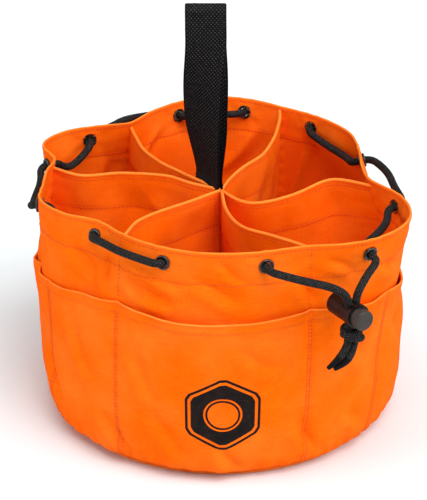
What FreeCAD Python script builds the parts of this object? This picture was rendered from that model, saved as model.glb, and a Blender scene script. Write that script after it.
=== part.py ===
"""Round canvas drawstring bucket organizer: six compartments, outer pockets, webbing handle,
twelve eyelets laced with a drawcord, and a spring cord lock.

Frame: origin on the floor at the middle of the round base, +Z up, front pocket faces -Y. Millimetres.
"""
import FreeCAD, Part
import math
import os

import Sketcher
from FreeCAD import Placement, Rotation, Vector

os.makedirs("parts", exist_ok=True)
doc = FreeCAD.newDocument("bucket_organizer")

# --------------------------------------------------------------------------- driving dimensions
sizes = doc.addObject("Spreadsheet::Sheet", "sizes")
SIZES = [
    ("base_radius", 128.0),          # round base panel
    ("base_thickness", 2.4),
    ("belly_radius", 144.5),         # middle of the wall cloth where the bag is widest
    ("bag_height", 200.0),           # floor to rim
    ("rim_shape_start", 70.0),       # height above which the wall takes on the rim's folds
    ("wall_thickness", 2.0),         # hemmed double canvas
    ("divider_thickness", 1.6),
    ("divider_centre_height", 186.0),
    ("divider_wall_height", 198.0),
    ("divider_start", 1.8),          # gap from the bag's axis to a divider
    ("divider_reach", 4.0),          # length cut back to the wall
    ("pocket_bottom", 12.0),
    ("pocket_top", 146.0),
    ("pocket_gap", 7.0),             # room between wall and pocket cloth
    ("pocket_cloth", 1.6),
    ("seam_width", 2.0),
    ("seam_ease", 0.4),
    ("eyelet_height", 188.0),
    ("eyelet_flange_radius", 4.85),  # middle circle of the rolled flange
    ("eyelet_flange_roll", 0.95),
    ("eyelet_barrel_outer", 4.0),
    ("eyelet_bore", 3.55),
    ("eyelet_barrel_length", 4.7),
    ("washer_radius", 5.8),
    ("washer_bore", 4.1),
    ("washer_thickness", 0.8),
    ("eyelet_seat", 0.5),            # gap between wall cloth and flange
    ("washer_seat", 0.55),           # gap between wall cloth and washer
    ("hole_ease", 0.1),              # eyelet hole beyond the barrel
    ("cord_diameter", 6.0),
    ("strap_width", 32.0),           # 1 1/4 in webbing
    ("strap_thickness", 1.8),
    ("strap_top", 338.0),
    ("strap_pivot_height", 192.0),
    ("strap_fold_radius", 3.0),
    ("tail_depth", 40.0),
    ("tail_thickness", 6.0),
    ("tail_gap", 0.4),               # between the sewn end and the fold that turns above it
    ("lock_radius", 8.75),
    ("lock_length", 29.6),
    ("lock_bore", 7.1),
    ("lock_end_wall", 2.0),
    ("lock_corner", 1.6),
    ("lock_collar_radius", 9.5),
    ("lock_collar_length", 3.0),
    ("slot_start", 18.3),            # cord slot, from the closed end
    ("slot_length", 6.4),
    ("slot_width", 12.6),
    ("slot_ease", 0.2),
    ("button_travel", 4.0),
    ("plunger_radius", 7.05),
    ("plunger_start", 9.0),
    ("plunger_slot_start", 18.2),
    ("button_head_radius", 7.9),
    ("button_head_start", 33.9),
    ("button_head_length", 4.1),
    ("button_corner", 1.2),
    ("spring_radius", 4.6),
    ("spring_wire_radius", 0.4),
    ("spring_turns", 2.5),
    ("spring_ease", 0.1),
    ("knot_radius", 9.2),
    ("knot_height", 12.4),
    ("knot_corner", 2.9),
]
for row, (alias, value) in enumerate(SIZES, start=1):
    sizes.set("A%d" % row, alias)
    sizes.set("B%d" % row, str(value))
    sizes.setAlias("B%d" % row, alias)
doc.recompute()


def size(alias):
    return float(sizes.get(alias))


# Folds of the rim: (angle in degrees from +X, distance of the cloth from the bag's axis).
RIM = [
    (-171, 141), (-160, 148), (-148, 141), (-137, 128), (-124, 133), (-113, 138), (-100, 143),
    (-86, 145), (-73, 144), (-63, 147), (-54, 158), (-44, 166), (-30, 165), (-18, 147),
    (-6, 118), (8, 113), (22, 120), (38, 134), (54, 141), (69, 147), (80, 156), (90, 160),
    (101, 155), (113, 142), (126, 128), (136, 139), (147, 154), (158, 156), (167, 137), (177, 138),
]
# Height and radius of the wall as a share of the belly radius, below the folds.
PROFILE = [(2.4, 0.878), (12, 0.945), (30, 0.982), (60, 0.997), (100, 1.0), (146, 1.0), (200, 1.0)]
LEVELS = [2.4, 12, 30, 60, 100, 130, 146, 165, 183, 200]
RIM_SHARE_POWER = 1.5

# Divider name, seam angle on the wall, and plan points of its top edge from the centre outwards.
DIVIDERS = [
    ("divider_front_left", -124, [(-24, -23), (-44, -42), (-64, -70)]),
    ("divider_front_right", -63, [(5, -50), (17, -82), (40, -101)]),
    ("divider_right", -6, [(22, -27), (52, -20), (88, 8)]),
    ("divider_back_right", 70, [(13, 34), (33, 60), (45, 92)]),
    ("divider_back_left", 126, [(-37, 35), (-61, 62)]),
    ("divider_left", 172, [(-22, 12), (-44, 23), (-75, 22), (-112, 8)]),
]
# Stitch lines that part the outer pockets: the seams, and the middle of every panel but the front one.
POCKET_SEAMS = [-124, -63, -34, -6, 32, 70, 98, 126, 149, 172, -156]
FRONT_EYELET = -77.0      # eyelet of the left free end
SIDE_EYELET = -47.3       # eyelet of the right free end
EYELET_ANGLES = [-136.5, -107.6, FRONT_EYELET, SIDE_EYELET, -15.2, 24, 57.5, 82.4, 103.8, 139.3,
                 163, -166]

STRAP_ANGLE = 134.0       # plan direction of the stitched width of the webbing
LOCK_ANGLE = -58.3
LOCK_START = 161.0        # closed end of the lock, from the bag's axis
LOCK_HEIGHT = 156.5
KNOT_BOTTOM = 134.0


# --------------------------------------------------------------------------- wall surface
def smooth_table(table, x, period=None):
    """Smooth curve through a table of (x, value), wrapped round when it has a period."""
    points = list(table)
    if period:
        while x < points[0][0]:
            x += period
        while x >= points[0][0] + period:
            x -= period
        first = [(points[-1][0] - period, points[-1][1])]
        last = [(points[0][0] + period, points[0][1]), (points[1][0] + period, points[1][1])]
    else:
        x = min(max(x, points[0][0]), points[-1][0])
        first = [(2 * points[0][0] - points[1][0], points[0][1])]
        last = [(2 * points[-1][0] - points[-2][0], points[-1][1])]
    points = first + points + last
    for i in range(1, len(points) - 2):
        (x0, y0), (x1, y1), (x2, y2), (x3, y3) = points[i - 1:i + 3]
        if x <= x2:
            break
    slope_1 = (y2 - y0) / (x2 - x0)
    slope_2 = (y3 - y1) / (x3 - x1)
    span = x2 - x1
    u = (x - x1) / span
    a = 2 * u ** 3 - 3 * u ** 2 + 1
    b = u ** 3 - 2 * u ** 2 + u
    c = -2 * u ** 3 + 3 * u ** 2
    d = u ** 3 - u ** 2
    return a * y1 + b * span * slope_1 + c * y2 + d * span * slope_2


def wall_radius(angle, height):
    """Distance of the middle of the wall cloth from the bag's axis."""
    plain = size("belly_radius") * smooth_table(PROFILE, height)
    start = size("rim_shape_start")
    share = max(0.0, (height - start) / (size("bag_height") - start)) ** RIM_SHARE_POWER
    return plain * (1 - share) + smooth_table(RIM, angle, 360) * share


def polar(angle, radius, height):
    a = math.radians(angle)
    return Vector(radius * math.cos(a), radius * math.sin(a), height)


def wall_point(angle, height, stand_off=0.0):
    """Point at a distance from the middle of the wall cloth, outside when positive."""
    step = 0.5
    here = polar(angle, wall_radius(angle, height), height)
    round_wall = polar(angle + step, wall_radius(angle + step, height), height) - here
    up_wall = polar(angle, wall_radius(angle, height + step), height + step) - here
    normal = round_wall.cross(up_wall).normalize()
    return here + normal * stand_off, normal


def wall_solid(offset, samples=60):
    """Solid inside the wall cloth, grown by an offset."""
    wires = []
    for height in LEVELS:
        ring = []
        for i in range(samples):
            angle = i * 360.0 / samples
            ring.append(polar(angle, wall_radius(angle, height) + offset, height))
        curve = Part.BSplineCurve()
        curve.interpolate(Points=ring, PeriodicFlag=True)
        wires.append(Part.Wire([curve.toShape()]))
    return Part.makeLoft(wires, True, False)


def slab(low, high):
    half = 2 * size("belly_radius")
    return Part.makeBox(2 * half, 2 * half, high - low, Vector(-half, -half, low))


def one_solid(shape):
    """The largest solid of a result."""
    solids = sorted(shape.Solids, key=lambda s: s.Volume)
    return solids[-1]


NODES = []


def feature(name, shape):
    """A document object that holds a shape worked out from the sheet."""
    obj = doc.addObject("Part::Feature", name)
    obj.Label = name
    obj.Shape = shape
    NODES.append(obj)
    return obj


# --------------------------------------------------------------------------- sketch helpers
def body_plane(body, role):
    return [o for o in body.Origin.OriginFeatures if o.Role == role][0]


def sketch_on(body, name, role, lift=None):
    sketch = body.newObject("Sketcher::SketchObject", name)
    sketch.AttachmentSupport = [(body_plane(body, role), "")]
    sketch.MapMode = "FlatFace"
    if lift:
        sketch.setExpression("AttachmentOffset.Base.z", lift)
    return sketch


def circle_sketch(body, name, radius, lift=None):
    sketch = sketch_on(body, name, "XY_Plane", lift)
    sketch.addGeometry(Part.Circle(Vector(0, 0, 0), Vector(0, 0, 1), 5.0), False)
    sketch.addConstraint(Sketcher.Constraint("Coincident", 0, 3, -1, 1))
    sketch.addConstraint(Sketcher.Constraint("Radius", 0, 5.0))
    sketch.setExpression("Constraints[1]", radius)
    return sketch


def slot_sketch(body, name, start, length, width):
    """Rectangle on the plane across the slot: length along the lock, width side to side."""
    sketch = sketch_on(body, name, "YZ_Plane")
    corners = [Vector(-4, 10, 0), Vector(4, 10, 0), Vector(4, 16, 0), Vector(-4, 16, 0)]
    for i in range(4):
        sketch.addGeometry(Part.LineSegment(corners[i], corners[(i + 1) % 4]), False)
    for i in range(4):
        sketch.addConstraint(Sketcher.Constraint("Coincident", i, 2, (i + 1) % 4, 1))
    sketch.addConstraint(Sketcher.Constraint("Horizontal", 2))
    sketch.addConstraint(Sketcher.Constraint("Vertical", 1))
    sketch.addConstraint(Sketcher.Constraint("Vertical", 3))
    sketch.addConstraint(Sketcher.Constraint("Symmetric", 0, 1, 0, 2, -2))
    sketch.addConstraint(Sketcher.Constraint("DistanceY", -1, 1, 0, 1, 10.0))
    sketch.setExpression("Constraints[8]", start)
    sketch.addConstraint(Sketcher.Constraint("DistanceY", 0, 1, 2, 2, 6.0))
    sketch.setExpression("Constraints[9]", length)
    sketch.addConstraint(Sketcher.Constraint("DistanceX", 0, 1, 0, 2, 8.0))
    sketch.setExpression("Constraints[10]", width)
    return sketch


def pad(body, name, sketch, length):
    feat = body.newObject("PartDesign::Pad", name)
    feat.Profile = sketch
    feat.setExpression("Length", length)
    return feat


def pocket(body, name, sketch, length, both_ways=False):
    feat = body.newObject("PartDesign::Pocket", name)
    feat.Profile = sketch
    feat.setExpression("Length", length)
    feat.Midplane = both_ways
    return feat


def fillet(body, name, base, edge_test, radius):
    doc.recompute()
    edges = ["Edge%d" % (i + 1) for i, e in enumerate(base.Shape.Edges) if edge_test(e)]
    feat = body.newObject("PartDesign::Fillet", name)
    feat.Base = (base, edges)
    feat.setExpression("Radius", radius)
    return feat


def edge_at(height, radius):
    def test(edge):
        box = edge.BoundBox
        flat = abs(box.ZMin - height) < 0.01 and abs(box.ZMax - height) < 0.01
        return flat and abs(box.XMax - radius) < 0.01 and abs(box.YMax - radius) < 0.01
    return test


def new_body(name):
    body = doc.addObject("PartDesign::Body", name)
    body.Label = name
    NODES.append(body)
    return body


# --------------------------------------------------------------------------- bag
def make_base_panel():
    body = new_body("base_panel")
    pad(body, "base_disc", circle_sketch(body, "base_outline", "sizes.base_radius"),
        "sizes.base_thickness")


def eyelet_frame(angle):
    """Placement of an eyelet: local +Z out of the bag along the wall's normal."""
    centre, normal = wall_point(angle, size("eyelet_height"))
    return Placement(centre, Rotation(Vector(0, 0, 1), normal))


def make_outer_wall(outside, inside):
    wall = outside.cut(inside)
    holes = []
    hole_radius = size("eyelet_barrel_outer") + size("hole_ease")
    depth = 6 * size("wall_thickness")
    for angle in EYELET_ANGLES:
        hole = Part.makeCylinder(hole_radius, depth, Vector(0, 0, -depth / 2))
        hole.Placement = eyelet_frame(angle)
        holes.append(hole)
    feature("outer_wall", one_solid(wall.cut(holes)))


def make_pocket_band(outside):
    bottom = size("pocket_bottom")
    top = size("pocket_top")
    cloth = size("pocket_cloth")
    inner_offset = size("wall_thickness") / 2 + size("pocket_gap")
    grown = wall_solid(inner_offset + cloth).common(slab(bottom, top))
    room = wall_solid(inner_offset).common(slab(bottom + cloth, top + 1))
    feature("pocket_band", one_solid(grown.cut(room).cut(outside)))


def make_pocket_seams():
    """The stitched lines that part the pockets: upright strips between the wall and the strip."""
    width = size("seam_width")
    ease = size("seam_ease")
    near = size("wall_thickness") / 2 + ease
    far = size("wall_thickness") / 2 + size("pocket_gap") - ease
    low = size("pocket_bottom") + size("pocket_cloth") + ease
    high = size("pocket_top")
    count = 12
    heights = [low + (high - low) * i / (count - 1) for i in range(count)]
    seams = []
    for angle in POCKET_SEAMS:
        inner = [Vector(wall_radius(angle, z) + near, -width / 2, z) for z in heights]
        outer = [Vector(wall_radius(angle, z) + far, -width / 2, z) for z in reversed(heights)]
        face = Part.Face(Part.makePolygon(inner + outer + inner[:1]))
        seam = face.extrude(Vector(0, width, 0))
        seam.rotate(Vector(0, 0, 0), Vector(0, 0, 1), angle)
        seams.append(seam)
    feature("pocket_seams", Part.makeCompound(seams))


def divider_room(inside):
    """Space inside the wall and under the dividers' top edges, which dip towards the middle."""
    low = size("base_thickness")
    centre = size("divider_centre_height")
    strap_reach = 40.0
    wall = 150.0
    profile = [Vector(0, 0, low), Vector(2 * wall, 0, low),
               Vector(2 * wall, 0, size("divider_wall_height")),
               Vector(wall, 0, size("divider_wall_height")),
               Vector(strap_reach, 0, centre + 1), Vector(0, 0, centre)]
    face = Part.Face(Part.makePolygon(profile + profile[:1]))
    return inside.common(face.revolve(Vector(0, 0, 0), Vector(0, 0, 1), 360))


def divider_wire(points, height, half):
    """Closed outline of a divider's cross-section along plan points."""
    curve = Part.BSplineCurve()
    curve.interpolate(Points=[Vector(x, y, height) for x, y in points])
    count = 9
    sides = ([], [])
    for i in range(count):
        t = curve.FirstParameter + (curve.LastParameter - curve.FirstParameter) * i / (count - 1)
        along = curve.tangent(t)[0]
        across = Vector(-along.y, along.x, 0) * half
        sides[0].append(curve.value(t) + across)
        sides[1].append(curve.value(t) - across)
    left = Part.BSplineCurve()
    left.interpolate(Points=sides[0])
    right = Part.BSplineCurve()
    right.interpolate(Points=sides[1])
    edges = [left.toShape(), Part.makeLine(sides[0][-1], sides[1][-1]), right.toShape(),
             Part.makeLine(sides[1][0], sides[0][0])]
    return Part.Wire(Part.__sortEdges__(edges))


def make_dividers(inside, strap_tail):
    room = divider_room(inside)
    half = size("divider_thickness") / 2
    start = size("divider_start")
    bottom = size("base_thickness")
    top = size("bag_height")
    taken = strap_tail
    for name, angle, middle in DIVIDERS:
        reach = max(wall_radius(angle, top), wall_radius(angle, top / 2))
        reach += size("divider_reach")
        end = polar(angle, reach, 0)
        first = Vector(middle[0][0], middle[0][1], 0).normalize() * start
        straight_first = polar(angle, start, 0)
        top_points = [(first.x, first.y)] + middle + [(end.x, end.y)]
        count = len(top_points)
        straight = []
        for i in range(count):
            p = straight_first + (end - straight_first) * (i / (count - 1))
            straight.append((p.x, p.y))
        plate = Part.makeLoft([divider_wire(straight, bottom, half),
                               divider_wire(top_points, top, half)], True, True)
        plate = one_solid(plate.common(room).cut(taken))
        feature(name, plate)
        taken = taken.fuse(plate)


def make_eyelets():
    for number, angle in enumerate(EYELET_ANGLES, start=1):
        seat = size("wall_thickness") / 2 + size("washer_seat")
        flange = doc.addObject("Part::Torus", "eyelet_flange_%d" % number)
        flange.setExpression("Radius1", "sizes.eyelet_flange_radius")
        flange.setExpression("Radius2", "sizes.eyelet_flange_roll")
        flange.setExpression("Placement.Base.z",
                             "sizes.wall_thickness / 2 + sizes.eyelet_seat + sizes.eyelet_flange_roll")
        barrel = doc.addObject("Part::Cylinder", "eyelet_barrel_%d" % number)
        barrel.setExpression("Radius", "sizes.eyelet_barrel_outer")
        barrel.setExpression("Height", "sizes.eyelet_barrel_length")
        barrel.setExpression("Placement.Base.z", "-sizes.eyelet_barrel_length / 2")
        whole = doc.addObject("Part::Fuse", "eyelet_whole_%d" % number)
        whole.Base = flange
        whole.Tool = barrel
        bore = doc.addObject("Part::Cylinder", "eyelet_bore_%d" % number)
        bore.setExpression("Radius", "sizes.eyelet_bore")
        bore.setExpression("Height", "3 * sizes.eyelet_barrel_length")
        bore.setExpression("Placement.Base.z", "-1.5 * sizes.eyelet_barrel_length")
        eyelet = doc.addObject("Part::Cut", "eyelet_%02d" % number)
        eyelet.Base = whole
        eyelet.Tool = bore
        eyelet.Placement = eyelet_frame(angle)
        NODES.append(eyelet)

        ring = doc.addObject("Part::Cylinder", "washer_ring_%d" % number)
        ring.setExpression("Radius", "sizes.washer_radius")
        ring.setExpression("Height", "sizes.washer_thickness")
        hole = doc.addObject("Part::Cylinder", "washer_hole_%d" % number)
        hole.setExpression("Radius", "sizes.washer_bore")
        hole.setExpression("Height", "sizes.washer_thickness")
        washer = doc.addObject("Part::Cut", "eyelet_washer_%02d" % number)
        washer.Base = ring
        washer.Tool = hole
        back = Placement(Vector(0, 0, -seat - size("washer_thickness")), Rotation())
        washer.Placement = eyelet_frame(angle).multiply(back)
        NODES.append(washer)


# --------------------------------------------------------------------------- handle
def strap_axes():
    a = math.radians(STRAP_ANGLE)
    along = Vector(math.cos(a), math.sin(a), 0)
    return along, along * (size("strap_width") / 2)


def make_strap_tail():
    width = size("strap_width")
    thickness = size("tail_thickness")
    depth = size("tail_depth")
    top = size("strap_pivot_height") - size("strap_fold_radius") - size("tail_gap")
    tail = Part.makeBox(width, thickness, depth, Vector(0, -thickness / 2, top - depth))
    tail.rotate(Vector(0, 0, 0), Vector(0, 0, 1), STRAP_ANGLE)
    feature("strap_tail", tail)
    return tail


# Loop of the handle: (height share from pivot to top, half the gap between its two legs).
LEG_GAP = [(0.0, 0.3), (0.12, 1.6), (0.3, 4.5), (0.55, 7.5), (0.8, 7.5), (0.93, 5.6)]
STRAP_TOP_RADIUS = 5.6
TWIST_END = 0.55


def make_handle_strap():
    """Two legs of webbing that turn to face the front as they rise, joined by a fold on top."""
    along, middle = strap_axes()
    width = size("strap_width")
    thick = size("strap_thickness")
    pivot = size("strap_pivot_height")
    fold_height = size("strap_top") - STRAP_TOP_RADIUS - thick
    rise = fold_height - pivot
    last = LEG_GAP[-1][0]

    def section(share, side):
        turn = STRAP_ANGLE + (180.0 - STRAP_ANGLE) * min(1.0, share / TWIST_END)
        a = math.radians(turn)
        across = Vector(math.cos(a), math.sin(a), 0) * (width / 2)
        out = Vector(math.sin(a), -math.cos(a), 0)
        gap = smooth_table(LEG_GAP, share)
        centre = middle + Vector(0, 0, pivot + rise * share / last)
        near = out * (side * gap)
        far = out * (side * (gap + thick))
        corners = [centre - across + near, centre + across + near,
                   centre + across + far, centre - across + far]
        return Part.makePolygon(corners + corners[:1])

    pieces = []
    shares = [0.0, 0.1, 0.2, 0.3, 0.4, 0.55, 0.7, 0.8, last]
    for side in (-1, 1):
        pieces.append(Part.makeLoft([section(s, side) for s in shares], True, False))
    fold_centre = middle + Vector(-width / 2, 0, fold_height)
    outer = Part.makeCylinder(STRAP_TOP_RADIUS + thick, width, fold_centre, Vector(1, 0, 0))
    inner = Part.makeCylinder(STRAP_TOP_RADIUS, width, fold_centre, Vector(1, 0, 0))
    arch = outer.cut(inner).common(slab(fold_height - 0.01, fold_height + 40))
    pieces.append(arch)
    hinge_start = Vector(0, 0, pivot)
    pieces.append(Part.makeCylinder(size("strap_fold_radius"), width, hinge_start, along))
    feature("handle_strap", one_solid(pieces[0].fuse(pieces[1:])))


# --------------------------------------------------------------------------- cord
# Laced stretch as (angle, distance from the wall cloth, height), from the eyelet at the left free
# end, all round the rim, to the eyelet at the right free end.
LACED = [
    (-77, 8, 188), (-77, -8, 188), (-87, -6, 187), (-98, -6, 187), (-107.6, -8, 188),
    (-107.6, 8, 188), (-115, 8.5, 189.5), (-122, 9, 189.5), (-129, 9, 190), (-136.5, 8, 188),
    (-136.5, -7.5, 188), (-139.6, -6.0, 188.2), (-145, -4.5, 187.5), (-155, -5.5, 187.5),
    (-166, -8, 188), (-166, 8, 188),
    (-172, 8, 184), (179, 8, 182), (171, 8.5, 184), (163, 8, 188),
    (163, -8, 188), (159, -12, 180), (152, -14, 174), (145, -13, 178), (139.3, -8, 188),
    (139.3, 8, 188), (131, 14, 190), (121, 16, 192), (112, 12, 190), (103.8, 8, 188),
    (103.8, -8, 188), (93, -13, 187), (82.4, -8, 188), (82.4, 8, 188),
    (74, 8, 187), (66, 8, 187), (57.5, 8, 188),
    (57.5, -8, 188), (49, -9, 183), (39, -8, 181), (31, -8, 184), (24, -8, 188), (24, 8, 188),
    (15, 15, 186), (5, 18, 186), (-5, 17, 186), (-15.2, 8, 188),
    (-15.2, -8, 188), (-24, -15, 186), (-36, -16, 186), (-47.3, -8, 188), (-47.3, 8, 188),
]


def lock_point(along_lock, side, height):
    """Point at a distance along the lock from its closed end, to one side of its axis."""
    a = math.radians(LOCK_ANGLE)
    out = Vector(math.cos(a), math.sin(a), 0)
    across = Vector(-math.sin(a), math.cos(a), 0)
    p = out * (LOCK_START + along_lock) + across * side
    return Vector(p.x, p.y, height)


def tube(points, radius):
    """Round cord along straight runs joined by tangent arcs; returns solid and arc radii."""
    edges = []
    radii = []
    start = points[0]
    length = 0.0
    for i in range(1, len(points) - 1):
        before = points[i] - points[i - 1]
        after = points[i + 1] - points[i]
        turn = before.getAngle(after)
        trim = 0.45 * min(before.Length, after.Length)
        bend = trim / math.tan(turn / 2)
        radii.append(round(bend, 1))
        into = Vector(before).normalize()
        away = Vector(after).normalize()
        arc_start = points[i] - into * trim
        arc_end = points[i] + away * trim
        inward = (away - into).normalize()
        centre = points[i] + inward * (bend / math.cos(turn / 2))
        arc_middle = centre - inward * bend
        edges.append(Part.LineSegment(start, arc_start).toShape())
        edges.append(Part.Arc(arc_start, arc_middle, arc_end).toShape())
        length += (arc_start - start).Length + bend * turn
        start = arc_end
    edges.append(Part.LineSegment(start, points[-1]).toShape())
    length += (points[-1] - start).Length
    path = Part.Wire(edges)
    first = (points[1] - points[0]).normalize()
    circle = Part.Wire([Part.Circle(points[0], first, radius).toShape()])
    solid = path.makePipeShell([circle], True, False)
    expected = math.pi * radius ** 2 * length
    return solid, radii, length, expected


def make_cord(name, points):
    solid, radii, length, expected = tube(points, size("cord_diameter") / 2)
    share = solid.Volume / expected
    print("%s: length %.0f mm, volume share %.4f, bends %s" % (name, length, share, radii))
    if abs(share - 1) > 0.02:
        raise RuntimeError(name + ": the tube's volume is wrong")
    feature(name, one_solid(solid))


STRAND_SIDE = 3.1         # each strand's middle, from the middle of the lock's slot
FREE_START = 8.3          # where a free end begins, out from the wall just past the laced cord
TAIL_STRAIGHT = 3.0       # straight drop below the knot


def make_cords():
    make_cord("drawcord_laced", [wall_point(a, h, off)[0] for a, off, h in LACED])
    side = STRAND_SIDE
    slot = size("slot_start") + size("slot_length") / 2
    knot_top = KNOT_BOTTOM + size("knot_height")
    tail_bend = KNOT_BOTTOM - TAIL_STRAIGHT
    height = size("eyelet_height")
    left = [wall_point(FRONT_EYELET, height, FREE_START)[0], wall_point(FRONT_EYELET, height, 14)[0],
            Vector(45, -160, 187), Vector(62, -163.5, 184), Vector(77, -165.5, 182.5),
            Vector(87, -163.5, 178)]
    left += [lock_point(slot, -side, 168.5), lock_point(slot, -side, knot_top)]
    make_cord("drawcord_end_left", left)
    right = [wall_point(SIDE_EYELET, height, FREE_START)[0], wall_point(SIDE_EYELET, height, 14)[0],
             Vector(111, -139, 181), Vector(102, -150, 175)]
    right += [lock_point(slot, side, 168.5), lock_point(slot, side, knot_top)]
    make_cord("drawcord_end_right", right)
    left_tail = [lock_point(slot, -side, KNOT_BOTTOM), lock_point(slot, -side, tail_bend),
                 Vector(90.3, -159, 125), Vector(86, -160.4, 119), Vector(80.5, -160.8, 112.5)]
    make_cord("drawcord_tail_left", left_tail)
    right_tail = [lock_point(slot, side, KNOT_BOTTOM), lock_point(slot, side, tail_bend),
                  Vector(96, -157.6, 122.5), Vector(91.5, -160, 116), Vector(86.2, -160.6, 109.5)]
    make_cord("drawcord_tail_right", right_tail)


def lock_frame():
    """Local +Z out of the bag along the lock, local +X up."""
    out = lock_point(1, 0, 0) - lock_point(0, 0, 0)
    up = Vector(0, 0, 1)
    return Placement(lock_point(0, 0, LOCK_HEIGHT), Rotation(up, out.cross(up), out, "ZXY"))


def make_knot():
    body = new_body("drawcord_knot")
    core = pad(body, "knot_core", circle_sketch(body, "knot_outline", "sizes.knot_radius"),
               "sizes.knot_height")
    fillet(body, "knot_round", core, lambda e: isinstance(e.Curve, Part.Circle), "sizes.knot_corner")
    slot = size("slot_start") + size("slot_length") / 2
    body.Placement = Placement(lock_point(slot, 0, KNOT_BOTTOM), Rotation())


def make_lock():
    barrel = new_body("lock_barrel")
    tube_pad = pad(barrel, "barrel_pad", circle_sketch(barrel, "barrel_outline", "sizes.lock_radius"),
                   "sizes.lock_length")
    closed_end = edge_at(0.0, size("lock_radius"))
    fillet(barrel, "barrel_corner", tube_pad, closed_end, "sizes.lock_corner")
    pad(barrel, "collar_pad",
        circle_sketch(barrel, "collar_outline", "sizes.lock_collar_radius",
                      "sizes.lock_length - sizes.lock_collar_length"),
        "sizes.lock_collar_length")
    pocket(barrel, "bore", circle_sketch(barrel, "bore_outline", "sizes.lock_bore", "sizes.lock_length"),
           "sizes.lock_length - sizes.lock_end_wall")
    pocket(barrel, "cord_slot",
           slot_sketch(barrel, "slot_outline", "sizes.slot_start", "sizes.slot_length", "sizes.slot_width"),
           "4 * sizes.lock_radius", both_ways=True)
    barrel.Placement = lock_frame()

    button = new_body("lock_button")
    pad(button, "plunger_pad",
        circle_sketch(button, "plunger_outline", "sizes.plunger_radius", "sizes.plunger_start"),
        "sizes.button_head_start - sizes.plunger_start")
    head = pad(button, "head_pad",
               circle_sketch(button, "head_outline", "sizes.button_head_radius", "sizes.button_head_start"),
               "sizes.button_head_length")
    face_height = size("button_head_start") + size("button_head_length")
    fillet(button, "head_corner", head, edge_at(face_height, size("button_head_radius")),
           "sizes.button_corner")
    pocket(button, "button_slot",
           slot_sketch(button, "button_slot_outline", "sizes.plunger_slot_start",
                       "sizes.slot_length + sizes.button_travel + sizes.slot_ease", "sizes.slot_width"),
           "4 * sizes.lock_radius", both_ways=True)
    button.Placement = lock_frame()

    wire = size("spring_wire_radius")
    ease = size("spring_ease")
    room = size("plunger_start") - size("lock_end_wall") - 2 * (wire + ease)
    helix = Part.makeHelix(room / size("spring_turns"), room, size("spring_radius"))
    start = Vector(size("spring_radius"), 0, 0)
    profile = Part.Wire([Part.Circle(start, Vector(0, 1, 0), wire).toShape()])
    coil = Part.Wire(helix.Edges).makePipeShell([profile], True, True)
    spring = feature("lock_spring", coil)
    lift = Placement(Vector(0, 0, size("lock_end_wall") + wire + ease), Rotation())
    spring.Placement = lock_frame().multiply(lift)


doc.recompute()
make_base_panel()
outside_solid = wall_solid(size("wall_thickness") / 2)
inside_solid = wall_solid(-size("wall_thickness") / 2)
make_outer_wall(outside_solid, inside_solid)
make_pocket_band(outside_solid)
make_pocket_seams()
tail_shape = make_strap_tail()
make_dividers(inside_solid, tail_shape)
make_eyelets()
make_handle_strap()
make_cords()
make_knot()
make_lock()
doc.recompute()

for obj in doc.Objects:
    if "Invalid" in obj.State or "Error" in obj.State:
        raise RuntimeError("%s failed: %s" % (obj.Label, obj.State))
for node in NODES:
    if node.Shape.isNull() or not node.Shape.isValid():
        raise RuntimeError(node.Label + " has no valid shape")
for node in NODES:
    print("%-24s solids %d volume %.0f" % (node.Label, len(node.Shape.Solids), node.Shape.Volume))
    node.Shape.exportStep("parts/%s.step" % node.Label)
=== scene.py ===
"""Looks of the round canvas drawstring tool bag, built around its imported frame. Metres.

Frame: origin on the floor at the middle of the round base, +Z up, front pocket faces -Y.
"""
import math

import bpy
import numpy as np
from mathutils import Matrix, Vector


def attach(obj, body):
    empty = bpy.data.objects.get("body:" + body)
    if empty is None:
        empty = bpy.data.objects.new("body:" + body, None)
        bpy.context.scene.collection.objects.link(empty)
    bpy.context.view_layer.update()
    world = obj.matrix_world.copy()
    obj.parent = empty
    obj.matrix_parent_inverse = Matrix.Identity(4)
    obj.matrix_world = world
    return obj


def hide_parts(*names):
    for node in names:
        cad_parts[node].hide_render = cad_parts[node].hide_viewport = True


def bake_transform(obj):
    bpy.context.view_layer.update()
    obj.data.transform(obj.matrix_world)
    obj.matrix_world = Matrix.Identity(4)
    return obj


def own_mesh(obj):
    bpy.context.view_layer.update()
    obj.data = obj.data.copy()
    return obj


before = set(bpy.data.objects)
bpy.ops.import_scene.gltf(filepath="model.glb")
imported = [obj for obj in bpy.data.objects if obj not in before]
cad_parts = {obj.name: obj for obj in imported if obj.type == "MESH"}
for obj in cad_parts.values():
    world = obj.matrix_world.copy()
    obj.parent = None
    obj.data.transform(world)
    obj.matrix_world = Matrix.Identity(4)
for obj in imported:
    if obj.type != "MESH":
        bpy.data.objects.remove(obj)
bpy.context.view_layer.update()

scene = bpy.context.scene
scene.view_settings.view_transform = "Standard"

# --------------------------------------------------------------------------- camera
CAMERA_TARGET = (-0.006, 0.0, 0.132)
CAMERA_DISTANCE = 1.8
CAMERA_ELEVATION = 26.0
CAMERA_LENS = 189.1

camera_data = bpy.data.cameras.new("camera")
camera_data.lens = CAMERA_LENS
camera_data.sensor_width = 36.0
camera_data.sensor_fit = "HORIZONTAL"
camera_data.clip_start, camera_data.clip_end = 0.05, 20.0
camera = bpy.data.objects.new("camera", camera_data)
scene.collection.objects.link(camera)
rise = math.radians(CAMERA_ELEVATION)
back = Vector((0.0, -math.cos(rise), math.sin(rise)))
camera.location = Vector(CAMERA_TARGET) + back * CAMERA_DISTANCE
camera.rotation_mode = "QUATERNION"
camera.rotation_quaternion = (-back).to_track_quat("-Z", "Y")
scene.camera = camera

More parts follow.
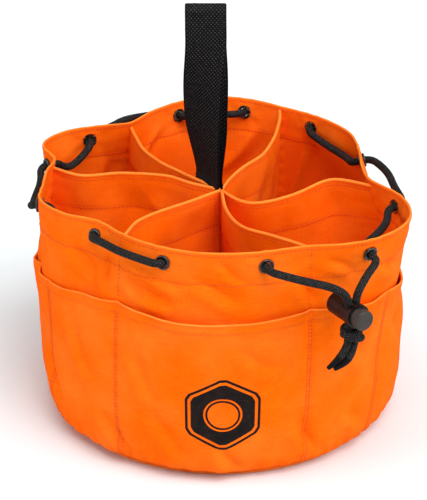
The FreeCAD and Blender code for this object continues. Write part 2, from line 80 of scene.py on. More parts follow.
# --------------------------------------------------------------------------- wall surface
BELLY_RADIUS = 0.1445
BAG_HEIGHT = 0.2
RIM_SHAPE_START = 0.07
RIM_SHARE_POWER = 1.5
BASE_RADIUS = 0.128
BASE_THICKNESS = 0.0024
WALL_HALF = 0.001
EYELET_HEIGHT = 0.188
FRONT_EYELET, SIDE_EYELET = -77.0, -47.3
EYELET_ANGLES = [-136.5, -107.6, FRONT_EYELET, SIDE_EYELET, -15.2, 24, 57.5, 82.4, 103.8, 139.3,
                 163, -166]
RIM = [
    (-171, 0.141), (-160, 0.148), (-148, 0.141), (-137, 0.128), (-124, 0.133), (-113, 0.138),
    (-100, 0.143), (-86, 0.145), (-73, 0.144), (-63, 0.147), (-54, 0.158), (-44, 0.166),
    (-30, 0.165), (-18, 0.147), (-6, 0.118), (8, 0.113), (22, 0.120), (38, 0.134),
    (54, 0.141), (69, 0.147), (80, 0.156), (90, 0.160), (101, 0.155), (113, 0.142),
    (126, 0.128), (136, 0.139), (147, 0.154), (158, 0.156), (167, 0.137), (177, 0.138),
]
PROFILE = [(0.0024, 0.878), (0.012, 0.945), (0.03, 0.982), (0.06, 0.997), (0.1, 1.0),
           (0.146, 1.0), (0.2, 1.0)]


def smooth_table(table, x, period=None):
    """Smooth curve through a table of (x, value), wrapped round when it has a period."""
    t = np.array(table, float)
    x = np.asarray(x, float)
    if period:
        t = np.vstack([t[-1:] - [[period, 0]], t, t[:2] + [[period, 0]]])
        x = (x - t[1, 0]) % period + t[1, 0]
    else:
        t = np.vstack([[[2 * t[0, 0] - t[1, 0], t[0, 1]]], t, [[2 * t[-1, 0] - t[-2, 0], t[-1, 1]]]])
        x = np.clip(x, t[1, 0], t[-2, 0])
    i = np.clip(np.searchsorted(t[:, 0], x, side="right") - 1, 1, len(t) - 3)
    x0, x1, x2, x3 = (t[i + k, 0] for k in (-1, 0, 1, 2))
    y0, y1, y2, y3 = (t[i + k, 1] for k in (-1, 0, 1, 2))
    slope_1 = (y2 - y0) / (x2 - x0)
    slope_2 = (y3 - y1) / (x3 - x1)
    span = x2 - x1
    u = (x - x1) / span
    return ((2 * u**3 - 3 * u**2 + 1) * y1 + (u**3 - 2 * u**2 + u) * span * slope_1
            + (3 * u**2 - 2 * u**3) * y2 + (u**3 - u**2) * span * slope_2)


def wall_radius(angle, height):
    plain = BELLY_RADIUS * smooth_table(PROFILE, height)
    share = np.maximum(0.0, (height - RIM_SHAPE_START) / (BAG_HEIGHT - RIM_SHAPE_START))
    share = share**RIM_SHARE_POWER
    return plain * (1 - share) + smooth_table(RIM, angle, 360) * share


def unit(vectors):
    return vectors / np.linalg.norm(vectors, axis=-1, keepdims=True)


def polar(angle, radius, height):
    a = np.radians(angle)
    return np.stack([radius * np.cos(a), radius * np.sin(a), height + 0 * a], -1)


def wall_frame(angle, height, surface=wall_radius):
    """Point of the wall cloth's middle and the outward normal there, for arrays."""
    angle, height = np.broadcast_arrays(np.asarray(angle, float), np.asarray(height, float))
    turn, lift = 0.5, 0.0005    # degrees and metres between the points compared
    here = polar(angle, surface(angle, height), height)
    aside = polar(angle + turn, surface(angle + turn, height), height) - here
    above = polar(angle, surface(angle, height + lift), height + lift) - here
    return here, unit(np.cross(aside, above))


def wall_point(angle, stand_off, height):
    here, normal = wall_frame(angle, height)
    return tuple(here + normal * stand_off)


# --------------------------------------------------------------------------- mesh helpers
def new_object(name, mesh, material, body="bag"):
    """Put a mesh in the scene, riding a body unless body is None."""
    mesh.materials.append(material)
    obj = bpy.data.objects.new(name, mesh)
    scene.collection.objects.link(obj)
    if body:
        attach(obj, body)
    return obj


def build_mesh(name, points, faces, uvs=None, attributes=None):
    """Mesh from point rows and faces of three or four corners; uvs are per face corner."""
    mesh = bpy.data.meshes.new(name)
    points = np.asarray(points, np.float32)
    groups = [np.asarray(f, np.int32) for f in faces if len(f)]
    loops = np.concatenate([g.ravel() for g in groups])
    counts = np.concatenate([np.full(len(g), g.shape[1], np.int32) for g in groups])
    starts = np.concatenate([[0], np.cumsum(counts)[:-1]]).astype(np.int32)
    mesh.vertices.add(len(points))
    mesh.vertices.foreach_set("co", points.ravel())
    mesh.loops.add(len(loops))
    mesh.loops.foreach_set("vertex_index", loops)
    mesh.polygons.add(len(counts))
    mesh.polygons.foreach_set("loop_start", starts)
    mesh.polygons.foreach_set("use_smooth", np.ones(len(counts), bool))
    if uvs is not None:
        layer = mesh.uv_layers.new(name="cloth")
        flat = np.concatenate([np.asarray(u, np.float32).reshape(-1, 2) for u in uvs if len(u)])
        layer.data.foreach_set("uv", flat.ravel())
    for key, values in (attributes or {}).items():
        layer = mesh.attributes.new(key, "FLOAT", "POINT")
        layer.data.foreach_set("value", np.asarray(values, np.float32))
    mesh.update(calc_edges=True)
    mesh.validate()
    return mesh


def grid_faces(rows, columns, wrap):
    """Corner numbers, rows and columns of a grid's faces; columns close when wrapped."""
    last = columns if wrap else columns - 1
    i, j = np.meshgrid(np.arange(rows - 1), np.arange(last), indexing="ij")
    k = (j + 1) % columns
    quads = np.stack([i * columns + j, i * columns + k, (i + 1) * columns + k,
                      (i + 1) * columns + j], -1)
    return quads.reshape(-1, 4), i.ravel(), j.ravel()


def fan_faces(count):
    """Triangles that fill a ring of so many corners."""
    k = np.arange(1, count - 1)
    return np.stack([np.zeros_like(k), k, k + 1], -1)


def corner_uvs(uv, i, j):
    return np.stack([uv[i, j], uv[i, j + 1], uv[i + 1, j + 1], uv[i + 1, j]], 1)


def thick_cloth(name, front, behind, uv, wrap=False, hole=None, attributes=None):
    """Closed sheet between two grids of points (rows x columns x 3).

    uv is rows x (columns + 1 when wrapped) x 2. hole marks faces left out."""
    rows, columns = front.shape[:2]
    quads, i, j = grid_faces(rows, columns, wrap)
    keep = np.ones(len(quads), bool) if hole is None else ~hole(i, j)
    quads, i, j = quads[keep], i[keep], j[keep]
    n = rows * columns
    edges = np.concatenate([quads[:, [a, b]] for a, b in ((0, 1), (1, 2), (2, 3), (3, 0))])
    side = np.repeat(np.arange(4), len(quads))
    owner = np.tile(np.arange(len(quads)), 4)
    key = np.sort(edges, 1)
    _, where, count = np.unique(key[:, 0] * n + key[:, 1], return_index=True, return_counts=True)
    rim = where[count == 1]
    a, b = edges[rim, 0], edges[rim, 1]
    sides = np.stack([b, a, a + n, b + n], -1)
    face_uv = corner_uvs(uv, i, j)
    rim_uv_a = face_uv[owner[rim], side[rim]]
    rim_uv_b = face_uv[owner[rim], (side[rim] + 1) % 4]
    side_uv = np.stack([rim_uv_b, rim_uv_a, rim_uv_a, rim_uv_b], 1)
    points = np.concatenate([front.reshape(-1, 3), behind.reshape(-1, 3)])
    used, packed = np.unique(np.concatenate([quads.ravel(), quads.ravel() + n]),
                             return_inverse=True)
    renumber = np.zeros(2 * n, np.int64)
    renumber[used] = np.arange(len(used))
    both = {k: np.tile(v.ravel(), 2)[used] for k, v in (attributes or {}).items()}
    return build_mesh(name, points[used],
                      [renumber[quads], renumber[quads[:, ::-1] + n], renumber[sides]],
                      [face_uv, face_uv[:, ::-1], side_uv], both)


def ripple(points, seed, wavelength, waves=7):
    """Smooth seeded noise from -1 to 1 over points in space."""
    rng = np.random.default_rng(seed)
    total = 0
    for _ in range(waves):
        direction = rng.normal(size=3)
        direction /= np.linalg.norm(direction)
        direction *= 2 * math.pi / (wavelength * rng.uniform(0.7, 1.5))
        total = total + np.sin(points @ direction + rng.uniform(0, 2 * math.pi))
    return total / math.sqrt(waves)


def bump_at(x, centre, width):
    return np.exp(-(((x - centre) / width) ** 2))


def rounded_edge(distance, radius):
    """Share of a sheet's full thickness at a distance from its rounded edge."""
    return np.sqrt(np.clip(1 - (1 - np.clip(distance / radius, 0, 1)) ** 2, 0.03, 1))


def hem_share(below_edge, hem_depth, blur):
    """1 within a hem's depth of the edge and 0 past it."""
    return 1 / (1 + np.exp((below_edge - hem_depth) / blur))


def distance_along(line):
    gaps = np.linalg.norm(np.diff(line, axis=0), axis=1)
    return np.concatenate([[0], np.cumsum(gaps)])


def read_off(values, along, at):
    """Rows of values, given at distances along a line, read off at other distances."""
    return np.stack([np.interp(at, along, values[:, k]) for k in range(3)], -1)


# --------------------------------------------------------------------------- material helpers
class Paint:
    """A node material with a Principled shader and short calls for its nodes."""

    def __init__(self, name, **values):
        self.material = bpy.data.materials.new(name)
        self.material.use_nodes = True
        self.tree = self.material.node_tree
        self.shader = self.tree.nodes["Principled BSDF"]
        for key, value in values.items():
            self.shader.inputs[key.replace("_", " ")].default_value = value

    def node(self, kind, inputs=None, **props):
        made = self.tree.nodes.new(kind)
        for key, value in props.items():
            setattr(made, key, value)
        for key, value in (inputs or {}).items():
            if isinstance(value, bpy.types.NodeSocket):
                self.tree.links.new(value, made.inputs[key])
            else:
                made.inputs[key].default_value = value
        return made

    def place(self):
        return self.node("ShaderNodeTexCoord").outputs["Object"]

    def cloth_uv(self):
        return self.node("ShaderNodeUVMap", uv_map="cloth").outputs[0]

    def painted(self, attribute):
        return self.node("ShaderNodeAttribute", attribute_name=attribute).outputs["Fac"]

    def math(self, operation, a, b=0.0):
        return self.node("ShaderNodeMath", {0: a, 1: b}, operation=operation).outputs[0]

    def times(self, a, b):
        return self.math("MULTIPLY", a, b)

    def sine(self, value, pitch):
        return self.math("SINE", self.times(value, 2 * math.pi / pitch))

    def mix(self, share, a, b):
        return self.node("ShaderNodeMix", {0: share, 6: a, 7: b}, data_type="RGBA").outputs[2]

    def noise(self, vector, scale, detail=2.0, stretch=(1.0, 1.0, 1.0)):
        mapped = self.node("ShaderNodeMapping", {"Vector": vector, "Scale": stretch})
        made = self.node("ShaderNodeTexNoise", {"Vector": mapped.outputs[0], "Scale": scale,
                                                "Detail": detail})
        return made.outputs[0]

    def span(self, value, low, high, to_low=0.0, to_high=1.0):
        made = self.node("ShaderNodeMapRange", {0: value, 1: low, 2: high, 3: to_low, 4: to_high})
        return made.outputs[0]

    def set(self, **sockets):
        for key, value in sockets.items():
            self.tree.links.new(value, self.shader.inputs[key.replace("_", " ")])

    def bump(self, height, strength, distance):
        made = self.node("ShaderNodeBump", {"Height": height, "Strength": strength,
                                            "Distance": distance})
        self.tree.links.new(made.outputs[0], self.shader.inputs["Normal"])


CANVAS_THREAD = 0.0006


def canvas_paint(name, base, pale_tone, deep):
    """Plain-woven canvas: threads, slubs and uneven dye, with painted shade in the weave's valleys
    and along stitched grooves, seams and corners, and pale edges that are partly frayed and partly
    painted highlight.
    """
    p = Paint(name, Specular_IOR_Level=0.015)
    uv = p.cloth_uv()
    split = p.node("ShaderNodeSeparateXYZ", {0: uv})
    weave = p.times(p.sine(split.outputs[0], 2 * CANVAS_THREAD),
                    p.sine(split.outputs[1], 2 * CANVAS_THREAD))
    weft = p.noise(uv, 1.0, 2.0, (90.0, 1500.0, 1.0))
    warp = p.noise(uv, 1.0, 2.0, (1500.0, 110.0, 1.0))
    slubs = p.math("ADD", p.times(weft, 0.65), p.times(warp, 0.35))
    mottle = p.noise(p.place(), 26.0, 5.0)
    edge_wear_and_highlight = p.painted("edge_wear_and_highlight")
    crease = p.painted("crease")
    tone = p.mix(p.span(slubs, 0.36, 0.62, 0.30, 1.0), deep, base)
    # Painted shade: the weave's valleys darker.
    tone = p.mix(p.span(weave, -1.0, 1.0, 0.22, 0.0), tone, deep)
    tone = p.mix(p.span(mottle, 0.38, 0.7, 0.0, 0.14), tone, pale_tone)
    # Painted shade along stitch grooves, seams and the corners where panels meet.
    tone = p.mix(p.times(crease, 0.5), tone, deep)
    # Pale edges: partly frayed and partly painted highlight.
    fray_and_highlight = p.times(edge_wear_and_highlight, p.span(slubs, 0.35, 0.6, 0.6, 1.0))
    p.set(Base_Color=p.mix(fray_and_highlight, tone, pale_tone), Roughness=p.span(slubs, 0.3, 0.7, 0.92, 0.72))
    height = p.math("ADD", p.times(weave, 0.5), p.times(slubs, 1.3))
    p.bump(height, 0.45, 0.0002)
    return p.material


def thread_paint():
    """Twisted polyester sewing thread."""
    p = Paint("thread", Specular_IOR_Level=0.25)
    twist = p.noise(p.place(), 2600.0, 1.0)
    tone = p.mix(p.span(twist, 0.35, 0.65), (0.55, 0.045, 0.002, 1), (0.88, 0.125, 0.008, 1))
    p.set(Base_Color=tone, Roughness=p.span(twist, 0.3, 0.7, 0.45, 0.65))
    p.bump(twist, 0.4, 0.0001)
    return p.material


def cord_paint():
    """Black braid: each strand of fine filaments, with a painted highlight on its crown, broken into
    spots.
    """
    p = Paint("braided_cord", Specular_IOR_Level=0.12)
    uv = p.cloth_uv()
    strand = p.painted("strand")
    fibre = p.noise(uv, 1.0, 2.0, (2600.0, 900.0, 1.0))
    glint_spots = p.noise(uv, 1.0, 1.0, (420.0, 480.0, 1.0))
    tone = p.mix(p.span(fibre, 0.35, 0.7), (0.0008, 0.0007, 0.0008, 1), (0.0045, 0.0042, 0.0045, 1))
    # Painted highlight on the crown of each strand.
    crown = p.math("POWER", strand, 14.0)
    glint = p.times(crown, p.span(glint_spots, 0.38, 0.62, 0.30, 1.0))
    tone = p.mix(p.times(glint, 0.8), tone, (0.42, 0.39, 0.36, 1))
    p.set(Base_Color=tone, Roughness=p.span(fibre, 0.3, 0.7, 0.5, 0.75))
    p.bump(fibre, 0.5, 0.00015)
    return p.material


def webbing_paint():
    """Black ribbed webbing: rows of floats with small painted glints on their crowns."""
    p = Paint("webbing", Specular_IOR_Level=0.12)
    uv = p.cloth_uv()
    crown = p.painted("strand")
    fibre = p.noise(uv, 1.0, 2.0, (900.0, 2400.0, 1.0))
    glint_grains = p.noise(uv, 1.0, 1.0, (300.0, 300.0, 1.0))
    tone = p.mix(p.span(fibre, 0.35, 0.7), (0.0008, 0.0008, 0.001, 1), (0.003, 0.003, 0.0035, 1))
    # Painted highlight on the crowns of the floats.
    glint = p.times(p.span(crown, 0.60, 1.0), p.span(glint_grains, 0.30, 0.70, 0.25, 1.0))
    p.set(Base_Color=p.mix(p.times(glint, 0.45), tone, (0.22, 0.22, 0.225, 1)),
          Roughness=p.span(fibre, 0.3, 0.7, 0.6, 0.82))
    p.bump(fibre, 0.45, 0.00012)
    return p.material


def metal_paint():
    """Black painted brass eyelets, rubbed through to metal on their high spots."""
    p = Paint("painted_eyelet", Coat_Weight=0.3, Coat_Roughness=0.25)
    place = p.place()
    rub = p.noise(place, 420.0, 4.0)
    edge = p.node("ShaderNodeNewGeometry").outputs["Pointiness"]
    bare = p.times(p.span(edge, 0.52, 0.60), p.span(rub, 0.50, 0.66))
    p.set(Base_Color=p.mix(bare, (0.004, 0.0036, 0.0036, 1), (0.35, 0.28, 0.18, 1)), Metallic=bare,
          Roughness=p.span(rub, 0.3, 0.7, 0.22, 0.42))
    p.bump(rub, 0.15, 0.0002)
    return p.material


def plastic_paint(name, dark, light, gloss):
    """Moulded plastic with a fine sparked grain, a little handling shine and scuffs."""
    p = Paint(name, Specular_IOR_Level=0.28)
    place = p.place()
    grain = p.noise(place, 2600.0, 2.0)
    haze = p.noise(place, 130.0, 4.0)
    scuff = p.noise(place, 1.0, 5.0, (900.0, 160.0, 420.0))
    tone = p.mix(p.span(haze, 0.35, 0.7), dark, light)
    tone = p.mix(p.span(scuff, 0.64, 0.72, 0.0, 0.18), tone, (0.16, 0.13, 0.11, 1))
    p.set(Base_Color=tone, Roughness=p.span(haze, 0.3, 0.7, gloss, gloss + 0.16))
    p.bump(grain, 0.25, 0.00008)
    return p.material


def steel_paint():
    """Zinc-plated spring wire with drawing marks."""
    p = Paint("spring_steel", Metallic=1.0)
    place = p.place()
    marks = p.noise(place, 1.0, 3.0, (300.0, 300.0, 4000.0))
    p.set(Base_Color=p.mix(marks, (0.42, 0.42, 0.44, 1), (0.66, 0.65, 0.62, 1)),
          Roughness=p.span(marks, 0.3, 0.7, 0.25, 0.45))
    p.bump(marks, 0.2, 0.00005)
    return p.material


def print_paint():
    """Screen-printed black ink, a little broken where it bridges the weave."""
    p = Paint("print_ink", Specular_IOR_Level=0.12)
    place = p.place()
    broken = p.noise(place, 1500.0, 3.0)
    patchy = p.noise(place, 160.0, 3.0)
    tone = p.mix(p.span(patchy, 0.35, 0.7), (0.003, 0.002, 0.002, 1), (0.010, 0.006, 0.005, 1))
    p.set(Base_Color=p.mix(p.span(broken, 0.66, 0.74, 0.0, 0.8), tone, (0.35, 0.06, 0.008, 1)),
          Roughness=p.span(broken, 0.3, 0.7, 0.5, 0.75))
    p.bump(broken, 0.4, 0.0001)
    return p.material


ORANGE = (0.98, 0.156, 0.0022, 1)
# Pale orange: faded patches, and the frayed edges' painted highlight.
ORANGE_PALE = (1.0, 0.38, 0.07, 1)
ORANGE_DEEP = (0.88, 0.084, 0.0010, 1)
CANVAS = canvas_paint("orange_canvas", ORANGE, ORANGE_PALE, ORANGE_DEEP)
THREAD = thread_paint()
CORD = cord_paint()
WEBBING = webbing_paint()
METAL = metal_paint()
LOCK_PLASTIC = plastic_paint("lock_plastic", (0.0022, 0.0010, 0.0009, 1),
                             (0.006, 0.0024, 0.002, 1), 0.34)
BUTTON_PLASTIC = plastic_paint("button_plastic", (0.030, 0.024, 0.020, 1),
                               (0.050, 0.040, 0.032, 1), 0.4)
STEEL = steel_paint()
INK = print_paint()

# --------------------------------------------------------------------------- cords
CORD_DIAMETER = 0.006
# The laced stretch: angle round the bag, distance out from the wall, height.
LACED = [
    (-77, 0.008, 0.188), (-77, -0.008, 0.188), (-87, -0.006, 0.187), (-98, -0.006, 0.187),
    (-107.6, -0.008, 0.188), (-107.6, 0.008, 0.188), (-115, 0.0085, 0.1895),
    (-122, 0.009, 0.1895), (-129, 0.009, 0.190), (-136.5, 0.008, 0.188),
    (-136.5, -0.0075, 0.188), (-139.6, -0.0060, 0.1882), (-145, -0.0045, 0.1875),
    (-155, -0.0055, 0.1875), (-166, -0.008, 0.188), (-166, 0.008, 0.188),
    (-172, 0.0080, 0.180), (179, 0.0078, 0.177), (171, 0.0083, 0.181),
    (163, 0.008, 0.188), (163, -0.008, 0.188), (159, -0.012, 0.180),
    (152, -0.014, 0.174), (145, -0.013, 0.178), (139.3, -0.008, 0.188), (139.3, 0.008, 0.188),
    (131, 0.014, 0.190), (121, 0.016, 0.192), (112, 0.012, 0.190), (103.8, 0.008, 0.188),
    (103.8, -0.008, 0.188), (93, -0.013, 0.187), (82.4, -0.008, 0.188), (82.4, 0.008, 0.188),
    (74, 0.008, 0.187), (66, 0.008, 0.187), (57.5, 0.008, 0.188), (57.5, -0.008, 0.188),
    (49, -0.009, 0.183), (39, -0.008, 0.181), (31, -0.008, 0.184), (24, -0.008, 0.188),
    (24, 0.008, 0.188), (15, 0.015, 0.186), (5, 0.018, 0.186), (-5, 0.017, 0.186),
    (-15.2, 0.008, 0.188), (-15.2, -0.008, 0.188), (-24, -0.015, 0.186), (-36, -0.016, 0.186),
    (-47.3, -0.008, 0.188), (-47.3, 0.008, 0.188),
]
LOCK_ANGLE = math.radians(-58.3)
LOCK_START = 0.161          # distance of the lock's closed end from the bag's axis
SLOT_MIDDLE = 0.0215        # from there to the middle of the cord slot
STRAND_SIDE = 0.0031        # each strand's distance from the slot's middle
LOCK_OUT = np.array([math.cos(LOCK_ANGLE), math.sin(LOCK_ANGLE), 0.0])
LOCK_ACROSS = np.array([-math.sin(LOCK_ANGLE), math.cos(LOCK_ANGLE), 0.0])


def slot_point(side, height, out=0.0):
    """Place in or under the lock's cord slot, by distance aside, height and distance out."""
    p = LOCK_OUT * (LOCK_START + SLOT_MIDDLE + out) + LOCK_ACROSS * side
    return (p[0], p[1], height)


def route_curve(name, route):
    """The cord's line: a smooth NURBS spline with the route's points as its control points."""
    data = bpy.data.curves.new(name + "_line", "CURVE")
    data.dimensions = "3D"
    spline = data.splines.new("NURBS")
    spline.points.add(len(route) - 1)
    for point, place in zip(spline.points, route):
        point.co = (*place, 1.0)
    spline.order_u = 3
    spline.use_endpoint_u = True
    spline.resolution_u = 16
    holder = bpy.data.objects.new(name + "_line", data)
    mesh = bpy.data.meshes.new_from_object(holder)
    line = np.array([v.co for v in mesh.vertices], float)
    bpy.data.meshes.remove(mesh)
    bpy.data.objects.remove(holder)
    bpy.data.curves.remove(data)
    return line


def even(line, step):
    """The line again with its points an even step apart, and their distances along it."""
    gaps = np.linalg.norm(np.diff(line, axis=0), axis=1)
    line = line[np.concatenate([[True], gaps > 1e-7])]
    along = distance_along(line)
    at = np.linspace(0, along[-1], max(2, int(round(along[-1] / step)) + 1))
    return read_off(line, along, at), at


def carried_frames(line):
    """Two directions square to the line that turn with it without spinning."""
    tangent = unit(np.gradient(line, axis=0))
    seed = np.array([0, 0, 1.0]) if abs(tangent[0, 2]) < 0.9 else np.array([1.0, 0, 0])
    first = np.zeros_like(line)
    side = np.cross(tangent[0], seed)
    for i, t in enumerate(tangent):
        side = unit(side - t * (side @ t))
        first[i] = side
    return first, np.cross(tangent, first)


def tube_points(line, radius):
    """Rings of points round a line, from their radii (points x places round the ring)."""
    first, second = carried_frames(line)
    a = 2 * math.pi * np.arange(radius.shape[1]) / radius.shape[1]
    ring = np.cos(a)[None, :, None] * first[:, None] + np.sin(a)[None, :, None] * second[:, None]
    return line[:, None] + ring * radius[..., None]


CARRIERS = 8                        # strands of the braid that wind each way
BRAID_PITCH = 0.0165
CROWN, VALLEY = 0.00318, 0.00212    # radius over and between the strands
CORD_STEP, CORD_AROUND = 0.00052, 56
CORD_END = 0.0006                   # rounding of a cut end
PATH_STEP = 0.002


def braid_height(turn, along):
    """Height from 0 to 1 of a round braid's strands, over a turn share and a distance."""
    p = CARRIERS * (turn + along / BRAID_PITCH)
    q = CARRIERS * (turn - along / BRAID_PITCH)
    tops = []
    for own, other, sign in ((p, q, 1.0), (q, p, -1.0)):
        across = 2 * (own - np.floor(own)) - 1
        crown = np.sqrt(np.maximum(0.0, 1 - 0.92 * across**2))
        lift = 0.62 + 0.38 * sign * np.cos(math.pi * (other - 0.5 + np.floor(own)))
        tops.append(crown * lift)
    return np.maximum(*tops)


def rope_mesh(name, line, scale):
    """Closed tube of braided cord along a line; scale(distance share) narrows and smooths it."""
    line, along = even(line, CORD_STEP)
    turn = np.arange(CORD_AROUND) / CORD_AROUND
    height = braid_height(turn[None, :], along[:, None])
    radius = VALLEY + (CROWN - VALLEY) * height
    if scale is not None:
        width, smooth = scale(along / along[-1])
        radius = radius * (1 - smooth[:, None]) + (0.94 * CROWN) * smooth[:, None]
        height = height * (1 - smooth[:, None])
        radius = radius * width[:, None]
    ends = np.clip(np.minimum(along, along[-1] - along) / CORD_END, 0, 1)
    radius = radius * np.sqrt(np.clip(1 - (1 - ends) ** 2, 0.04, 1))[:, None]
    points = tube_points(line, radius)
    rows = len(line)
    quads, i, j = grid_faces(rows, CORD_AROUND, True)
    k = np.arange(CORD_AROUND)
    middle = np.full(CORD_AROUND, rows * CORD_AROUND)
    last = (rows - 1) * CORD_AROUND
    start_cap = np.stack([k, (k + 1) % CORD_AROUND, middle], -1)
    end_cap = np.stack([last + k, last + (k + 1) % CORD_AROUND, middle + 1], -1)
    whole = np.concatenate([points.reshape(-1, 3), line[:1], line[-1:]])
    u = np.arange(CORD_AROUND + 1) / CORD_AROUND * math.pi * CORD_DIAMETER
    uv = np.stack(np.broadcast_arrays(u[None, :], along[:, None]), -1)
    cap_uv = [np.zeros((CORD_AROUND, 3, 2)), np.full((CORD_AROUND, 3, 2), along[-1])]
    return build_mesh(name, whole, [quads[:, ::-1], start_cap, end_cap[:, ::-1]],
                      [corner_uvs(uv, i, j)[:, ::-1]] + cap_uv,
                      {"strand": np.concatenate([height.ravel(), [0, 0]])})


def cord_piece(name, node, route, body="bag", scale=None):
    """A cord along a route in place of a CAD node: the piece, its path and its length."""
    line = route_curve(name, route)
    piece = new_object(name, rope_mesh(name, line, scale), CORD, body)
    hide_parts(node)
    path, along = even(line, PATH_STEP)
    return piece, path, along[-1]


laced = cord_piece("cord_laced", "drawcord_laced", [wall_point(*place) for place in LACED])

left_route = [
    wall_point(FRONT_EYELET, 0.0076, EYELET_HEIGHT), wall_point(FRONT_EYELET, 0.012, EYELET_HEIGHT),
    (0.045, -0.1590, 0.1885), (0.062, -0.1630, 0.1855), (0.077, -0.1655, 0.1835),
    (0.087, -0.1640, 0.1785), slot_point(-STRAND_SIDE, 0.1685), slot_point(-STRAND_SIDE, 0.1560),
]
right_route = [
    wall_point(SIDE_EYELET, 0.0076, EYELET_HEIGHT), wall_point(SIDE_EYELET, 0.0118, EYELET_HEIGHT),
    (0.1085, -0.1370, 0.1800), (0.1015, -0.1490, 0.1735),
    slot_point(STRAND_SIDE, 0.1675), slot_point(STRAND_SIDE, 0.1560),
]
for side, route in (("left", left_route), ("right", right_route)):
    strand = cord_piece("cord_end_" + side, "drawcord_end_" + side, route, body=None)
    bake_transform(strand[0])

TIP_SHARE = 0.24            # share of a tail's length that its sealed tip takes up


def sealed_tip(share):
    """Width and smoothness of a tail that is melted and drawn to a point at its end."""
    t = np.clip((share - (1 - TIP_SHARE)) / TIP_SHARE, 0, 1)
    width = 1 - 0.52 * t**1.3
    return width, np.clip(t * 2.2, 0, 1)


# The tails start inside the lock, so that it slides along them without a gap.
left_tail_route = [
    slot_point(-STRAND_SIDE, 0.1640), slot_point(-STRAND_SIDE, 0.1340),
    slot_point(-STRAND_SIDE, 0.1310), (0.0903, -0.1590, 0.1250), (0.0860, -0.1604, 0.1190),
    (0.0785, -0.1602, 0.1120),
]
right_tail_route = [
    slot_point(STRAND_SIDE, 0.1640), slot_point(STRAND_SIDE, 0.1340),
    slot_point(STRAND_SIDE, 0.1310), (0.0960, -0.1576, 0.1225), (0.0912, -0.1602, 0.1165),
    (0.0832, -0.1612, 0.1118),
]
tails = [cord_piece("cord_tail_" + side, "drawcord_tail_" + side, route, scale=sealed_tip)
         for side, route in (("left", left_tail_route), ("right", right_tail_route))]

# Overhand knot in both strands, one turn round them and the end tucked through: distance
# aside, distance out and height.
KNOT = [
    (-0.0020, 0.0046, 0.1362), (0.0044, 0.0052, 0.1366), (0.0070, 0.0008, 0.1372),
    (0.0048, -0.0050, 0.1380), (-0.0022, -0.0056, 0.1388), (-0.0070, -0.0014, 0.1396),
    (-0.0056, 0.0046, 0.1404), (0.0014, 0.0060, 0.1414), (0.0068, 0.0022, 0.1424),
    (0.0054, -0.0042, 0.1432), (-0.0012, -0.0056, 0.1438), (-0.0064, -0.0024, 0.1432),
    (-0.0070, 0.0036, 0.1408), (-0.0020, 0.0064, 0.1384), (0.0054, 0.0060, 0.1362),
    (0.0078, 0.0018, 0.1350),
]
knot, _, _ = cord_piece(
    "cord_knot", "drawcord_knot", [slot_point(across, height, out) for across, out, height in KNOT],
    scale=lambda share: (np.full(len(share), 0.9), np.zeros(len(share))))

# --------------------------------------------------------------------------- outer wall
HEM_DEPTH = 0.027
STITCH_EDGE = 0.003
WALL_DEGREE = math.radians(1) * BELLY_RADIUS      # metres along the wall per degree
SEAM_ANGLES = [-124, -63, -6, 70, 126, 172]
POCKET_SEAMS = [-124, -63, -34, -6, 32, 70, 98, 126, 149, 172, -156]
eyelet_places = [wall_frame(a, EYELET_HEIGHT) for a in EYELET_ANGLES]


def angle_gap(a, b):
    return (np.asarray(a) - b + 180.0) % 360.0 - 180.0


def eyelet_distance(points):
    """Distance to the nearest eyelet's middle, and the direction round it."""
    best = np.full(points.shape[:-1], 1.0)
    around = np.zeros(points.shape[:-1])
    for centre, normal in eyelet_places:
        gap = points - centre
        flat = gap - (gap @ normal)[..., None] * normal
        far = np.linalg.norm(gap, axis=-1)
        side = np.cross([0, 0, 1.0], normal)
        near = far < best
        around = np.where(near, np.arctan2(flat[..., 2], flat @ side), around)
        best = np.where(near, far, best)
    return best, around


CREASE_GAIN = 3.0
# Creases of the wall: angle and height of one end and of the other, depth and half width.
CREASES = [
    (-122, 0.172, -104, 0.150, 0.0013, 0.0050), (-118, 0.184, -101, 0.170, 0.0009, 0.0040),
    (-100, 0.176, -84, 0.160, 0.0010, 0.0050), (-92, 0.194, -80, 0.172, 0.0008, 0.0035),
    (-68, 0.178, -60, 0.152, 0.0012, 0.0045), (-58, 0.190, -50, 0.170, 0.0010, 0.0040),
    (-40, 0.176, -28, 0.152, 0.0012, 0.0050), (-22, 0.196, -14, 0.160, 0.0010, 0.0045),
    (-132, 0.186, -128, 0.150, 0.0011, 0.0045), (-146, 0.176, -134, 0.156, 0.0010, 0.0050),
    (-118, 0.110, -108, 0.070, 0.0010, 0.0060), (-112, 0.062, -98, 0.020, 0.0011, 0.0060),
    (-86, 0.122, -72, 0.100, 0.0008, 0.0055), (-66, 0.060, -58, 0.012, 0.0012, 0.0060),
    (-92, 0.036, -80, 0.008, 0.0010, 0.0055), (-52, 0.120, -40, 0.080, 0.0011, 0.0060),
    (-46, 0.050, -36, 0.014, 0.0011, 0.0060), (-128, 0.050, -120, 0.010, 0.0012, 0.0060),
    (-26, 0.110, -16, 0.060, 0.0010, 0.0060), (-142, 0.120, -132, 0.070, 0.0011, 0.0060),
    (10, 0.170, 22, 0.120, 0.0011, 0.0060), (40, 0.150, 52, 0.100, 0.0011, 0.0060),
    (78, 0.176, 92, 0.130, 0.0012, 0.0060), (104, 0.120, 116, 0.070, 0.0011, 0.0060),
    (134, 0.170, 142, 0.120, 0.0012, 0.0060), (156, 0.130, 166, 0.080, 0.0011, 0.0060),
    (-176, 0.160, -164, 0.110, 0.0012, 0.0060), (-160, 0.080, -150, 0.030, 0.0011, 0.0060),
    (60, 0.176, 66, 0.110, 0.0010, 0.0050), (112, 0.186, 120, 0.150, 0.0011, 0.0045),
]


